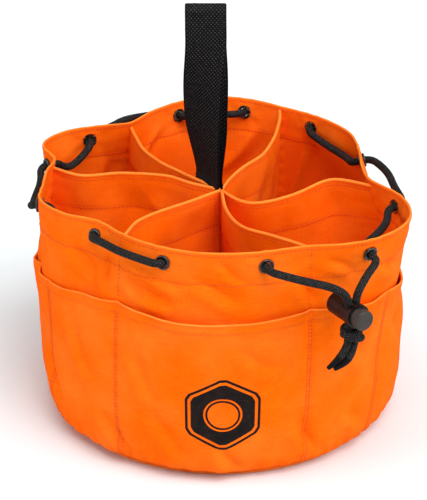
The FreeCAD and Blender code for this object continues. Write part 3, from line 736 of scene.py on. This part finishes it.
def crease_lines(angle, height):
    """Folds of the cloth: a sharp valley along each crease with a soft ridge beside it."""
    total = np.zeros(np.broadcast(angle, height).shape)
    for a0, z0, a1, z1, depth, width in CREASES:
        x, z = angle_gap(angle, a0) * WALL_DEGREE, height - z0
        dx, dz = (a1 - a0) * WALL_DEGREE, z1 - z0
        length = math.hypot(dx, dz)
        along = (x * dx + z * dz) / length**2
        across = (x * dz - z * dx) / length
        across = across + 0.0022 * np.sin(along * 4.4 + a0)
        fade = np.clip(1 - np.abs(2 * along - 1) ** 2.4, 0, 1) ** 0.8
        valley = -np.exp(-np.abs(across / (0.8 * width)) ** 1.25)
        ridge = 0.8 * bump_at(across, 1.7 * width, 1.1 * width)
        total = total + CREASE_GAIN * depth * fade * (valley + ridge)
    return total


def wall_wrinkle(points, angle, height):
    """How far the cloth leaves its plain surface: soft folds, seam puckers and eyelet puckers."""
    far, around = eyelet_distance(points)
    calm = np.clip((far - 0.008) / 0.012, 0, 1) ** 1.3
    calm = calm * np.clip((0.1995 - height) / 0.012, 0.25, 1) * np.clip(height / 0.012, 0, 1)
    low = np.clip((0.19 - height) / 0.1, 0.4, 1)
    fold = 0.0013 * ripple(points, 3, 0.085) * low
    stretched = points * [1.0, 1.0, 0.45]
    fold = fold + 0.00055 * ripple(stretched, 11, 0.028)
    fold = fold - 0.0007 * np.abs(ripple(points * [1.0, 1.0, 0.8], 13, 0.060))
    seam = np.zeros_like(height)
    for a in SEAM_ANGLES:
        near = bump_at(angle_gap(angle, a) * WALL_DEGREE, 0, 0.0045)
        seam = seam - near * (0.0011 + 0.0004 * np.sin(height * 2 * math.pi / 0.011 + a))
    pucker = 0.00032 * np.sin(7 * around) * bump_at(far, 0.012, 0.005)
    gather = 0.0010 * np.sin(np.radians(angle) * 58 + 3 * ripple(points, 5, 0.12))
    gather = gather * bump_at(height, 0.011, 0.013)
    return calm * (fold + seam + gather + crease_lines(angle, height)) + pucker


def wall_surface(angle, height):
    """Radius of the wrinkled cloth's middle surface."""
    radius = wall_radius(angle, height)
    return radius + wall_wrinkle(polar(angle, radius, height), angle, height)


STITCH_PITCH = 0.0032
STITCH_DENT = 0.0011        # half width of the dent along a row of stitches
WALL_COLUMNS = 480


def stitch_dip(height, rows, along, depth):
    """Dents where rows of thread pull the cloth in, deepest at each stitch."""
    swing = 0.7 + 0.3 * np.cos(along / STITCH_PITCH * 2 * math.pi)
    total = np.zeros_like(height)
    for row in rows:
        total = total + bump_at(height, row, STITCH_DENT) * swing
    return -depth * total


def cloth_piece(name, nodes, front, behind, uv, wrap, edge_wear_and_highlight, crease, hole=None):
    """A sheet of canvas on the bag in place of CAD nodes."""
    mesh = thick_cloth(name, front, behind, uv, wrap, hole,
                       {"edge_wear_and_highlight": edge_wear_and_highlight, "crease": np.clip(crease, 0, 1)})
    piece = new_object(name, mesh, CANVAS)
    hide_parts(*nodes)
    return piece


rim_rows = BAG_HEIGHT - np.array([0.0, 0.00018, 0.0005, 0.001, 0.0019])
heights = np.concatenate([np.linspace(BASE_THICKNESS, 0.1962, 98), rim_rows[::-1]])
angles = np.arange(WALL_COLUMNS) * 360.0 / WALL_COLUMNS
H, A = np.meshgrid(heights, angles, indexing="ij")
mid, normal = wall_frame(A, H, wall_surface)
far, _ = eyelet_distance(mid)
rounding = rounded_edge(BAG_HEIGHT - H, 0.001)
in_hem = hem_share(BAG_HEIGHT - H, HEM_DEPTH, 0.0006)
stitch_rows = [BAG_HEIGHT - STITCH_EDGE, BAG_HEIGHT - HEM_DEPTH]
dip = stitch_dip(H, stitch_rows, np.radians(A) * BELLY_RADIUS, 0.0003)
seat = 0.00042 * np.clip((0.0095 - far) / 0.003, 0, 1)      # pressed up against the eyelets
outer = (0.00085 + 0.00015 * in_hem + dip) * rounding + seat
inner = (0.00055 + 0.00045 * in_hem + dip) * rounding + seat * 1.2
front = mid + normal * outer[..., None]
behind = mid - normal * inner[..., None]

# Each eyelet's hole: the faces inside it go, and the edge of the opening is drawn round.
HOLE = 0.0046
EYELET_REACH = 0.012
face_mid = (mid[:-1] + mid[1:] + np.roll(mid, -1, 1)[:-1] + np.roll(mid, -1, 1)[1:]) / 4
face_far, _ = eyelet_distance(face_mid)
hole_faces = face_far < HOLE
missing = np.zeros(mid.shape[:2], int)
for di in (0, 1):
    for dj in (0, 1):
        part = np.roll(hole_faces, dj, 1)
        missing[di:di + part.shape[0]] += part
on_edge = (missing > 0) & (missing < 4)
for centre, axis in eyelet_places:
    for grid in (front, behind):
        gap = grid - centre
        depth = gap @ axis
        flat = gap - depth[..., None] * axis
        size = np.linalg.norm(flat, axis=-1)
        near = on_edge & (np.linalg.norm(gap, axis=-1) < EYELET_REACH)
        grid[near] = (centre + flat / np.maximum(size, 1e-6)[..., None] * HOLE
                      + depth[..., None] * axis)[near]
u = np.arange(WALL_COLUMNS + 1) * 2 * math.pi * BELLY_RADIUS / WALL_COLUMNS
uv = np.stack(np.broadcast_arrays(u[None, :], heights[:, None]), -1)
# The rim's edge is paler: partly frayed and partly painted highlight.
edge_wear_and_highlight = np.clip(1 - (BAG_HEIGHT - H) / 0.0014, 0, 1) * 0.42
# Painted shade along the stitch rows and at the foot of the wall.
crease = sum(bump_at(H, row, 0.0012) for row in stitch_rows) * 0.6
crease = crease + bump_at(H, BASE_THICKNESS, 0.003)
wall = cloth_piece("bag_wall", ["outer_wall"], front, behind, uv, True, edge_wear_and_highlight, crease,
                   lambda i, j: hole_faces[i, j])


def on_wall(angle, height, side):
    """Points on the outer (side 1) or inner (side -1) face of the wrinkled wall, and normals."""
    point, out = wall_frame(angle, height, wall_surface)
    return point + out * (side * 0.0009), out * side


# --------------------------------------------------------------------------- base panel
rings = np.concatenate([np.linspace(0.0, 0.118, 40),
                        [0.121, 0.1235, 0.1255, 0.1268, 0.1276, BASE_RADIUS]])
R, T = np.meshgrid(rings, np.arange(240) * 360.0 / 240, indexing="ij")
flat_disc = polar(T, np.maximum(R, 0.0003), 0.0 * R)
crown = 0.0007 * np.clip(1 - R / 0.12, 0, 1) + 0.00025 * ripple(flat_disc, 21, 0.05)
edge = np.sqrt(np.clip(1 - np.clip((R - 0.1255) / 0.0026, 0, 1) ** 2, 0.02, 1))
lift, half = BASE_THICKNESS / 2 + np.clip(crown, -0.0002, 0.001), 0.0011 * edge
top = flat_disc + np.stack([0 * R, 0 * R, lift + half], -1)
under = flat_disc + np.stack([0 * R, 0 * R, BASE_THICKNESS / 2 - half], -1)
disc_uv = np.concatenate([flat_disc[..., :2], flat_disc[:, :1, :2]], 1)
# Base panel: its rim paler, partly frayed and partly painted highlight, with painted shade along the
# seam ring near its edge.
base = cloth_piece("bag_base", ["base_panel"], top, under, disc_uv, True,
                   0.5 * bump_at(R, BASE_RADIUS, 0.004), bump_at(R, 0.121, 0.0015))

# --------------------------------------------------------------------------- pocket band
POCKET_TOP = 0.146
POCKET_LOW = 0.0035
POCKET_HEM = 0.009
BAND_RADIUS = 0.150
BAND_COLUMNS = 480
SEAM_ROWS = (-0.0014, 0.0014)       # the two rows of stitches of each seam between pockets
# The pocket's mouth hangs lower at the sides of the bag: share of its height, by angle.
POCKET_SAG = [(-175, 0.915), (-160, 0.92), (-148, 0.945), (-138, 0.975), (-124, 1.0), (-95, 0.985),
              (-63, 1.0), (-48, 0.985), (-34, 0.955), (-18, 0.915), (-4, 0.91), (15, 0.93),
              (45, 0.96), (90, 0.98), (135, 0.96), (165, 0.93)]
seams_sorted = sorted(a % 360 for a in POCKET_SEAMS)


def sagged(angle, height):
    """Height on the bag of a place on the pocket cloth, once its mouth has sagged."""
    share = np.clip((height - POCKET_LOW) / (POCKET_TOP - POCKET_LOW), 0, 1)
    drop = 1 - smooth_table(POCKET_SAG, angle, 360)
    return POCKET_LOW + (height - POCKET_LOW) * (1 - share * drop)


def pocket_share(angle):
    """Share of the way across the pocket at an angle, its width in degrees and its number."""
    a = np.asarray(angle, float) % 360
    starts = np.array(seams_sorted)
    i = (np.searchsorted(starts, a, side="right") - 1) % len(starts)
    low = starts[i]
    width = (starts[(i + 1) % len(starts)] - low) % 360
    return ((a - low) % 360) / width, width, i


# How loosely the pocket cloth hangs: share of its full stand, by angle.
POCKET_SLACK = [(-170, 0.45), (-150, 0.5), (-130, 0.9), (-95, 1.0), (-50, 1.0), (-30, 0.75),
                (-10, 0.45), (10, 0.5), (50, 0.9), (100, 1.0), (140, 0.8)]


def band_stand(angle, height):
    """Distance of the pocket cloth's middle from the wall's middle."""
    share, width, which = pocket_share(angle)
    open_by = np.interp(width, [20, 35, 62], [0.0030, 0.0042, 0.0060])
    arch = np.sin(math.pi * share) ** 0.75
    rise = np.clip((height - 0.02) / (POCKET_TOP - 0.02), 0, 1) ** 1.3
    arch = arch * smooth_table(POCKET_SLACK, angle, 360)
    sway = 1 + 0.25 * np.sin(which * 2.1 + 1.0)
    lean = np.minimum(open_by * sway, 0.0066)
    place = polar(angle, BELLY_RADIUS + 0 * height, height)
    loose = 0.0006 * ripple(place, 31, 0.05) * arch * np.clip(rise * 3, 0, 1)
    return 0.0019 + lean * arch * rise + np.maximum(loose, -0.0004)


def band_surface(angle, height):
    return wall_surface(angle, height) + band_stand(angle, height)


top_rows = POCKET_TOP - np.array([0.0, 0.00015, 0.0004, 0.0008, 0.0015])
band_heights = np.concatenate([np.linspace(POCKET_LOW, 0.1432, 74), top_rows[::-1]])
H, A = np.meshgrid(band_heights, np.arange(BAND_COLUMNS) * 360.0 / BAND_COLUMNS, indexing="ij")
mid, normal = wall_frame(A, sagged(A, H), band_surface)
rounding = rounded_edge(POCKET_TOP - H, 0.0009)
in_hem = hem_share(POCKET_TOP - H, POCKET_HEM, 0.0005)
band_rows = [POCKET_TOP - 0.0018, POCKET_TOP - POCKET_HEM + 0.0008]
dip = stitch_dip(H, band_rows, np.radians(A) * BAND_RADIUS, 0.00034)
seam_line = np.zeros_like(H)
for a in POCKET_SEAMS:
    for offset in SEAM_ROWS:
        near = bump_at(angle_gap(A, a) * math.radians(1) * BAND_RADIUS, offset, 0.0009)
        seam_line = np.maximum(seam_line, near)
dip = dip - 0.00022 * seam_line
outer = (0.00060 + 0.00055 * in_hem + dip) * rounding
inner = (0.00055 + 0.00020 * in_hem) * rounding
low_edge = np.clip((H - POCKET_LOW) / 0.004, 0.0, 1)
front = mid + normal * (outer * (0.3 + 0.7 * low_edge))[..., None]
behind = mid - normal * inner[..., None]
u = np.arange(BAND_COLUMNS + 1) * 2 * math.pi * BAND_RADIUS / BAND_COLUMNS
uv = np.stack(np.broadcast_arrays(u[None, :], band_heights[:, None]), -1)
# The pockets' top edge is paler: partly frayed and partly painted highlight.
edge_wear_and_highlight = np.clip(1 - (POCKET_TOP - H) / 0.0014, 0, 1) * 0.45
# Painted shade along the stitch rows and the seams between pockets.
crease = sum(bump_at(H, row, 0.0011) for row in band_rows) * 0.5 + 0.5 * seam_line
band = cloth_piece("pocket_cloth", ["pocket_band", "pocket_seams"], front, behind, uv, True,
                   edge_wear_and_highlight, crease)


def on_band(angle, height, lift=0.0):
    """Points on the outer face of the pocket cloth or a little above it, and normals."""
    point, out = wall_frame(angle, sagged(angle, height), band_surface)
    return point + out * (0.0006 + lift), out


# --------------------------------------------------------------------------- dividers
# Each divider: the CAD node, the angle where it meets the wall, and points of its top edge.
DIVIDERS = [
    ("divider_front_left", -124, [(-0.024, -0.023), (-0.044, -0.042), (-0.064, -0.070)]),
    ("divider_front_right", -63, [(0.005, -0.050), (0.017, -0.082), (0.040, -0.101)]),
    ("divider_right", -6, [(0.022, -0.027), (0.052, -0.020), (0.088, 0.008)]),
    ("divider_back_right", 70, [(0.013, 0.034), (0.033, 0.060), (0.045, 0.092)]),
    ("divider_back_left", 126, [(-0.037, 0.035), (-0.061, 0.062)]),
    ("divider_left", 172, [(-0.022, 0.012), (-0.044, 0.023), (-0.075, 0.022), (-0.112, 0.008)]),
]
DIVIDER_TOPS = [(0.0, 0.186), (0.040, 0.187), (0.150, 0.198)]     # height by distance out
DIVIDER_HEM = 0.030
DIVIDER_STITCH = 0.005
DIVIDER_SEAM = 0.0065       # upright row of stitches, from the middle of the bag
CENTRE_START = 0.0011
DIVIDER_COLUMNS, DIVIDER_ROWS = 84, 104


def plan_curve(points, share):
    """Smooth plan curve through points, by share of its chord length."""
    points = np.array(points, float)
    chords = distance_along(points)
    chords /= chords[-1]
    return np.stack([smooth_table(list(zip(chords, points[:, k])), share) for k in (0, 1)], -1)


def divider_plan(angle, middle, share, height):
    """Plan place of a divider at shares from the centre to the wall, at a height."""
    reach = float(wall_surface(np.array([angle]), np.array([height]))[0]) - 0.0006
    end = reach * np.array([math.cos(math.radians(angle)), math.sin(math.radians(angle))])
    first = np.array(middle[0]) / np.linalg.norm(middle[0]) * CENTRE_START
    count = len(middle) + 2
    straight_first = end / np.linalg.norm(end) * CENTRE_START
    straight = [straight_first + (end - straight_first) * k / (count - 1) for k in range(count)]
    top = [first, *[np.array(p) for p in middle], end]
    mix = np.clip((height - BASE_THICKNESS) / (BAG_HEIGHT - BASE_THICKNESS), 0, 1)
    points = [s * (1 - mix) + t * mix for s, t in zip(straight, top)]
    return plan_curve(points, share)


stitch_paths = {"wall": [], "band": [], "dividers": [], "strap": []}


def make_divider(number, name, angle, middle):
    """A divider's cloth and its rows of stitches; returns the piece and its length."""
    columns, rows = DIVIDER_COLUMNS, DIVIDER_ROWS
    share = np.linspace(0, 1, columns)
    close_rows = [0.9885, 0.9925, 0.9965, 0.999, 1.0]
    levels = np.concatenate([np.linspace(0, 0.985, rows - len(close_rows)), close_rows])
    plan_top = divider_plan(angle, middle, share, BAG_HEIGHT)
    reach = np.linalg.norm(plan_top, axis=1)
    top = smooth_table(DIVIDER_TOPS, reach) - 0.0002
    mid = np.zeros((rows, columns, 3))
    for k, level in enumerate(levels):
        z = BASE_THICKNESS + 0.0002 + (top - BASE_THICKNESS) * level
        line = divider_plan(angle, middle, share, float(z.mean()))
        mid[k] = np.concatenate([line, z[:, None]], 1)
    normal = unit(np.cross(np.gradient(mid, axis=1), np.gradient(mid, axis=0)))
    length = np.cumsum(np.linalg.norm(np.diff(mid, axis=1, prepend=mid[:, :1]), axis=-1), 1)
    below = top[None, :] - mid[..., 2]
    calm = np.sin(math.pi * np.clip(share, 0, 1))[None, :] ** 0.7
    wave = 0.0026 * ripple(mid * [1, 1, 0.45], 40 + number, 0.095)
    wave = wave + 0.0009 * ripple(mid, 60 + number, 0.034)
    wave = wave + 0.0016 * np.abs(ripple(mid * [1, 1, 0.7], 80 + number, 0.060))
    mid = mid + normal * (wave * calm * np.clip(below / 0.03, 0.35, 1)
                          * np.clip((mid[..., 2] - BASE_THICKNESS) / 0.03, 0, 1))[..., None]
    stitch_depths = [DIVIDER_STITCH, DIVIDER_HEM]
    in_hem = hem_share(below, DIVIDER_HEM, 0.0006)
    dip = stitch_dip(below, stitch_depths, length, 0.00022)
    dip = dip - 0.00018 * bump_at(length, DIVIDER_SEAM, STITCH_DENT)
    bead = 0.00035 * bump_at(below, 0.0010, 0.0011)
    half = (0.00050 + 0.00045 * in_hem + dip + bead) * rounded_edge(below, 0.0012)
    front = mid + normal * half[..., None]
    behind = mid - normal * half[..., None]
    # The top edge is paler: partly frayed and partly painted highlight.
    edge_wear_and_highlight = np.clip(1.15 - below / 0.0018, 0, 1) * 0.62
    # Painted shade along the stitch rows and where the dividers meet in the middle.
    crease = 0.5 * sum(bump_at(below, depth, STITCH_DENT) for depth in stitch_depths)
    crease = crease + 0.9 * bump_at(length, 0, 0.0022)
    uv = np.stack([length, np.broadcast_to(levels[:, None], length.shape) * 0.19], -1)
    piece = cloth_piece(name + "_cloth", [name], front, behind, uv, False, edge_wear_and_highlight, crease)
    for depth in stitch_depths:
        row = np.argmin(np.abs(below - depth), axis=0)
        column = np.arange(columns)
        share_up = np.clip((top - depth - BASE_THICKNESS) / (top - BASE_THICKNESS), 0, 1)
        low = np.clip(np.searchsorted(levels, share_up) - 1, 0, rows - 2)
        t = ((share_up - levels[low]) / (levels[low + 1] - levels[low]))[:, None]
        for side, grid in ((1, front), (-1, behind)):
            line = grid[low, column] * (1 - t) + grid[low + 1, column] * t
            out = normal[row, column] * side
            stitch_paths["dividers"].append((line[2:-2], out[2:-2]))
    column = int(np.argmin(np.abs(length[-1] - DIVIDER_SEAM)))
    for side, grid in ((1, front), (-1, behind)):
        stitch_paths["dividers"].append((grid[6:-6, column], normal[6:-6, column] * side))
    return piece, float(length[-1, -1])


dividers = [make_divider(i, *spec) for i, spec in enumerate(DIVIDERS)]

# --------------------------------------------------------------------------- handle
STRAP_TURN = [(0.149, 126), (0.192, 125), (0.200, 127), (0.214, 134), (0.228, 143), (0.240, 151),
              (0.253, 157), (0.268, 163), (0.303, 180), (0.332, 180)]  # width's way by height
STRAP_WIDTH = 0.032
STRAP_THICK = 0.0018
STRAP_PIVOT = 0.192
STRAP_TOP = 0.338
STRAP_TOP_RADIUS = 0.0056
LEG_GAP = [(0.0, 0.0003), (0.12, 0.0016), (0.3, 0.0045), (0.55, 0.0075), (0.8, 0.0075),
           (0.93, 0.0056)]
TAIL_LOW = 0.1490
STRAP_COLUMNS = 70
RIB, COLUMN = 0.0016, 0.0014        # the webbing's pitch along and across
strap_middle = np.array([-0.0094, 0.0126, 0.0])
fold_height = STRAP_TOP - STRAP_TOP_RADIUS - STRAP_THICK


def strap_place(height, side):
    """Middle of one leg of the loop at a height: its point, width direction and outward way."""
    share = np.clip((height - STRAP_PIVOT) / (fold_height - STRAP_PIVOT), 0, 1) * LEG_GAP[-1][0]
    turn = np.radians(smooth_table(STRAP_TURN, height))
    gap = smooth_table(LEG_GAP, share)
    sewn = np.clip((STRAP_PIVOT - height) / 0.004, 0, 1)
    gap = gap * (1 - sewn) + 0.0009 * sewn
    across = np.stack([np.cos(turn), np.sin(turn), 0 * turn], -1)
    out = np.stack([np.sin(turn), -np.cos(turn), 0 * turn], -1)
    drift = 0.0026 * np.clip((height - STRAP_PIVOT) / 0.05, 0, 1)
    centre = strap_middle + np.stack([-drift, -0.4 * drift, height], -1)
    return centre + out * (side * (gap + STRAP_THICK / 2))[..., None], across, out * side


rising = np.linspace(TAIL_LOW, fold_height, 340)
points_up, across_up, out_up = strap_place(rising, -1.0)
arc_turn = np.linspace(0, math.pi, 42)[1:-1]
top_place, across_top, out_top = strap_place(np.full(1, fold_height), 1.0)
arc_middle = (top_place + strap_place(np.full(1, fold_height), -1.0)[0]) / 2
arc_way = (-np.cos(arc_turn)[:, None] * out_top + np.sin(arc_turn)[:, None] * np.array([0, 0, 1.0]))
flatten = np.array([1.0, 1.0, 0.86])
arc_points = arc_middle + arc_way * (STRAP_TOP_RADIUS + STRAP_THICK / 2) * flatten
points_down, across_down, out_down = strap_place(rising[::-1], 1.0)
line = np.concatenate([points_up, arc_points, points_down])
across = np.concatenate([across_up, np.repeat(across_top, len(arc_turn), 0), across_down])
normal = unit(np.concatenate([out_up, arc_way, out_down]))
strap_s = distance_along(line)
x = np.linspace(-1, 1, STRAP_COLUMNS)
x = np.sign(x) * (1 - (1 - np.abs(x)) ** 1.12)       # columns crowd together at the selvedges
X, S = np.meshgrid(x * STRAP_WIDTH / 2, strap_s, indexing="xy")
weave = np.cos(math.pi * (S / RIB)) * np.cos(math.pi * (X / COLUMN))
ribs = 0.5 + 0.5 * np.abs(np.cos(math.pi * S / RIB))
crown = np.clip(0.5 + 0.5 * weave, 0, 1)
selvedge = 1 - np.clip((np.abs(X) - 0.0142) / 0.0010, 0, 1) * 0.5
raised = bump_at(X, 0.0085, 0.0008) * 0.00018
thick = STRAP_THICK / 2 - 0.00030 + 0.00030 * crown * selvedge + 0.00010 * ribs + raised
thick = thick * rounded_edge(STRAP_WIDTH / 2 - np.abs(X), 0.0010)
sewn_end, ease = 0.05, 0.04         # no waves on the sewn ends
soft = 0.0007 * ripple(np.stack([S, 0 * S, 0 * S], -1), 77, 0.09)
soft = soft * np.clip((S - sewn_end) / ease, 0, 1)
soft = soft * np.clip((strap_s[-1] - sewn_end - S) / ease, 0, 1)
centre = line[:, None] + across[:, None] * X[..., None] + normal[:, None] * soft[..., None]
front = centre + normal[:, None] * thick[..., None]
behind = centre - normal[:, None] * thick[..., None]
uv = np.stack([X + STRAP_WIDTH / 2, S], -1)
mesh = thick_cloth("handle_webbing", front, behind, uv, attributes={"strand": crown * selvedge})
strap = new_object("handle_webbing", mesh, WEBBING, body=None)
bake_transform(strap)
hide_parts("handle_strap", "strap_tail")

# --------------------------------------------------------------------------- stitches
STITCH_LENGTH, THREAD_RADIUS = 0.0024, 0.00036
THREAD_AROUND = 6
# Along a stitch: place as a share of its length, height and girth as shares of its radius.
STITCH_SHAPE = np.array([(-0.5, -1.1, 0.45), (-0.36, -0.15, 0.9), (-0.12, 0.35, 1.0),
                         (0.12, 0.35, 1.0), (0.36, -0.15, 0.9), (0.5, -1.1, 0.45)])


def stitch_places(line, out):
    """Middle, forward way and outward way of each stitch along a line on the cloth."""
    along = distance_along(line)
    count = max(1, int(along[-1] / STITCH_PITCH))
    at = (np.arange(count) + 0.5) * along[-1] / count
    forward = read_off(line, along, at + 1e-4) - read_off(line, along, at - 1e-4)
    return read_off(line, along, at), forward, read_off(out, along, at)


def stitch_mesh(name, paths):
    """Rows of short raised threads, each dipping into the cloth at its ends."""
    spots, ways, outs = (np.concatenate(k) for k in zip(*[stitch_places(*path) for path in paths]))
    ways = unit(ways)
    outs = unit(outs - ways * np.sum(outs * ways, 1, keepdims=True))
    sides = np.cross(ways, outs)
    rng = np.random.default_rng(9)
    ways = ways + sides * rng.uniform(-0.12, 0.12, len(spots))[:, None]
    place = STITCH_SHAPE[:, 0] * STITCH_LENGTH
    lift, girth = STITCH_SHAPE[:, 1] * THREAD_RADIUS, STITCH_SHAPE[:, 2] * THREAD_RADIUS
    a = np.arange(THREAD_AROUND) * 2 * math.pi / THREAD_AROUND
    height = lift[:, None] + np.sin(a)[None, :] * girth[:, None]
    aside = np.cos(a)[None, :] * girth[:, None]
    points = (spots[:, None, None] + ways[:, None, None] * place[None, :, None, None]
              + outs[:, None, None] * height[None, ..., None]
              + sides[:, None, None] * aside[None, ..., None])
    quads, _, _ = grid_faces(len(place), THREAD_AROUND, True)
    cap = fan_faces(THREAD_AROUND)
    caps = np.concatenate([cap[:, ::-1], cap + (len(place) - 1) * THREAD_AROUND])
    shift = (np.arange(len(spots)) * len(place) * THREAD_AROUND)[:, None, None]
    return build_mesh(name, points.reshape(-1, 3),
                      [(quads[None] + shift).reshape(-1, 4), (caps[None] + shift).reshape(-1, 3)])


RING_POINTS = 1400
BOTTOM_SEAM = 0.0085


def ring_path(where, height):
    return where(np.linspace(0, 360, RING_POINTS), np.full(RING_POINTS, height))


for row in stitch_rows:
    for side in (1, -1):
        stitch_paths["wall"].append(ring_path(lambda a, h: on_wall(a, h, side), row))
for row in [*band_rows, BOTTOM_SEAM]:
    stitch_paths["band"].append(ring_path(on_band, row))
for a in POCKET_SEAMS:
    span = np.linspace(0.010, POCKET_TOP - 0.002, 90)
    for offset in SEAM_ROWS:
        angle = np.full(len(span), a + math.degrees(offset / BAND_RADIUS))
        stitch_paths["band"].append(on_band(angle, span))
for a in SEAM_ANGLES:
    span = np.linspace(POCKET_TOP + 0.003, BAG_HEIGHT - 0.004, 40)
    stitch_paths["wall"].append(on_wall(np.full(len(span), float(a)), span, 1))


def flat_line(low, high, x0, x1, side):
    """A line of stitches on the sewn end of the handle, by height and place across."""
    point, across, out = strap_place(np.linspace(low, high, 24), side)
    x = np.linspace(x0, x1, 24)[:, None]
    return point + across * x + out * (STRAP_THICK / 2 + 0.0001), out


# On each face of the sewn end: a box of stitches with a cross in it.
BOX_LOW, BOX_HIGH, BOX_HALF = 0.1520, 0.1800, 0.0130
for side in (-1.0, 1.0):
    for x0, x1 in ((-1, -1), (1, 1), (-1, 1), (1, -1)):
        stitch_paths["strap"].append(flat_line(BOX_LOW, BOX_HIGH, x0 * BOX_HALF, x1 * BOX_HALF, side))
    for z in (BOX_LOW, BOX_HIGH):
        stitch_paths["strap"].append(flat_line(z, z + 1e-5, -BOX_HALF, BOX_HALF, side))

for key, paths in stitch_paths.items():
    name = "stitches_" + key
    new_object(name, stitch_mesh(name, paths), THREAD)

# --------------------------------------------------------------------------- print
# A plain hex nut: the middle's angle and height on the pocket, and the corners' distance.
PRINT_ANGLE = -89.6
PRINT_HEIGHT = 0.066
PRINT_RADIUS = 0.0335
PRINT_POINTS = 240


def hexagon(turn, size):
    """Distance from the middle to a hexagon's edge with rounded corners."""
    step = math.pi / 3
    a = (turn + step / 2) % step - step / 2
    flat = size / np.cos(a)
    return np.minimum(flat, size * 1.10)


def print_ring(name, inner, outer):
    """Ink between two outlines, each a distance from the print's middle by direction."""
    turn = np.arange(PRINT_POINTS) * 2 * math.pi / PRINT_POINTS
    share = np.linspace(0, 1, 10)[:, None]
    far = inner(turn)[None, :] * (1 - share) + outer(turn)[None, :] * share
    x, y = far * np.cos(turn), far * np.sin(turn)
    front, out = on_band(PRINT_ANGLE + np.degrees(x / BAND_RADIUS), PRINT_HEIGHT + y, 0.00014)
    uv = np.stack([x, y], -1)
    uv = np.concatenate([uv, uv[:, :1]], 1)
    return new_object(name, thick_cloth(name, front, front - out * 0.00022, uv, True), INK)


HEX = PRINT_RADIUS * math.cos(math.pi / 6)
prints = [print_ring("print_nut_%d" % k, inner, outer) for k, (inner, outer) in enumerate([
    (lambda t: hexagon(t, HEX * 0.93), lambda t: hexagon(t, HEX)),
    (lambda t: 0 * t + 0.0150, lambda t: hexagon(t, HEX * 0.85)),
    (lambda t: 0 * t + 0.0118, lambda t: 0 * t + 0.0134),
])]

# --------------------------------------------------------------------------- spring of the lock
LOCK_HEIGHT = 0.1565
SPRING_RADIUS, SPRING_WIRE = 0.0046, 0.0004
SPRING_LOW, SPRING_HIGH = 0.0025, 0.0085      # along the lock, from its closed end
SPRING_TURNS = 2.5
SPRING_AROUND = 12
wound = np.linspace(0, 2 * math.pi * SPRING_TURNS, 240)
up_way = np.array([0.0, 0.0, 1.0])
spring_end = LOCK_OUT * LOCK_START + up_way * LOCK_HEIGHT
rise_along = SPRING_LOW + (SPRING_HIGH - SPRING_LOW) * wound / wound[-1]
round_way = up_way * np.cos(wound)[:, None] + LOCK_ACROSS * np.sin(wound)[:, None]
coil_line = spring_end + LOCK_OUT * rise_along[:, None] + SPRING_RADIUS * round_way
coil = tube_points(coil_line, np.full((len(coil_line), SPRING_AROUND), SPRING_WIRE))
quads, _, _ = grid_faces(len(coil_line), SPRING_AROUND, True)
cap = fan_faces(SPRING_AROUND)
caps = np.concatenate([cap, (cap + (len(coil_line) - 1) * SPRING_AROUND)[:, ::-1]])
mesh = build_mesh("lock_spring_coil", coil.reshape(-1, 3), [quads[:, ::-1], caps])
spring = new_object("lock_spring_coil", mesh, STEEL, "lock")
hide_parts("lock_spring")
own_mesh(spring)

# --------------------------------------------------------------------------- fittings kept from CAD
def repaint(node, material):
    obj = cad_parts[node]
    obj.data.materials.clear()
    obj.data.materials.append(material)


for number in range(1, 13):
    repaint("eyelet_%02d" % number, METAL)
    repaint("eyelet_washer_%02d" % number, METAL)
repaint("lock_barrel", LOCK_PLASTIC)
repaint("lock_button", BUTTON_PLASTIC)

# --------------------------------------------------------------------------- floor and light
pale = Paint("pale_floor", Roughness=0.85, Specular_IOR_Level=0.1)
speck = pale.noise(pale.place(), 9.0, 2.0)
pale.set(Base_Color=pale.mix(speck, (0.72, 0.77, 0.785, 1), (0.75, 0.80, 0.815, 1)))
FLOOR_RADIUS, FLOOR_SIDES = 6.0, 96
floor_turn = np.arange(FLOOR_SIDES) * 360.0 / FLOOR_SIDES
floor_mesh = build_mesh("floor", polar(floor_turn, FLOOR_RADIUS, 0 * floor_turn),
                        [fan_faces(FLOOR_SIDES)])
floor = new_object("floor", floor_mesh, pale.material, body=None)

world = bpy.data.worlds.new("studio")
scene.world = world
world.use_nodes = True
sky = world.node_tree.nodes["Background"]
sky.inputs["Color"].default_value = (1.0, 1.0, 1.0, 1)
sky.inputs["Strength"].default_value = 0.27


def soft_sun(name, way, power, spread):
    """Light from far off, out of a wide patch of the sky, from azimuth and elevation."""
    data = bpy.data.lights.new(name, "SUN")
    data.energy = power
    data.angle = math.radians(spread)
    lamp = bpy.data.objects.new(name, data)
    scene.collection.objects.link(lamp)
    azimuth, elevation = (math.radians(k) for k in way)
    place = Vector((math.sin(azimuth) * math.cos(elevation),
                    -math.cos(azimuth) * math.cos(elevation), math.sin(elevation)))
    lamp.rotation_mode = "QUATERNION"
    lamp.rotation_quaternion = (-place).to_track_quat("-Z", "Y")


soft_sun("key", (30, 52), 2.05, 38)
soft_sun("top", (-20, 78), 1.35, 50)
soft_sun("right", (74, 24), 1.25, 34)
soft_sun("left", (-74, 18), 1.05, 34)
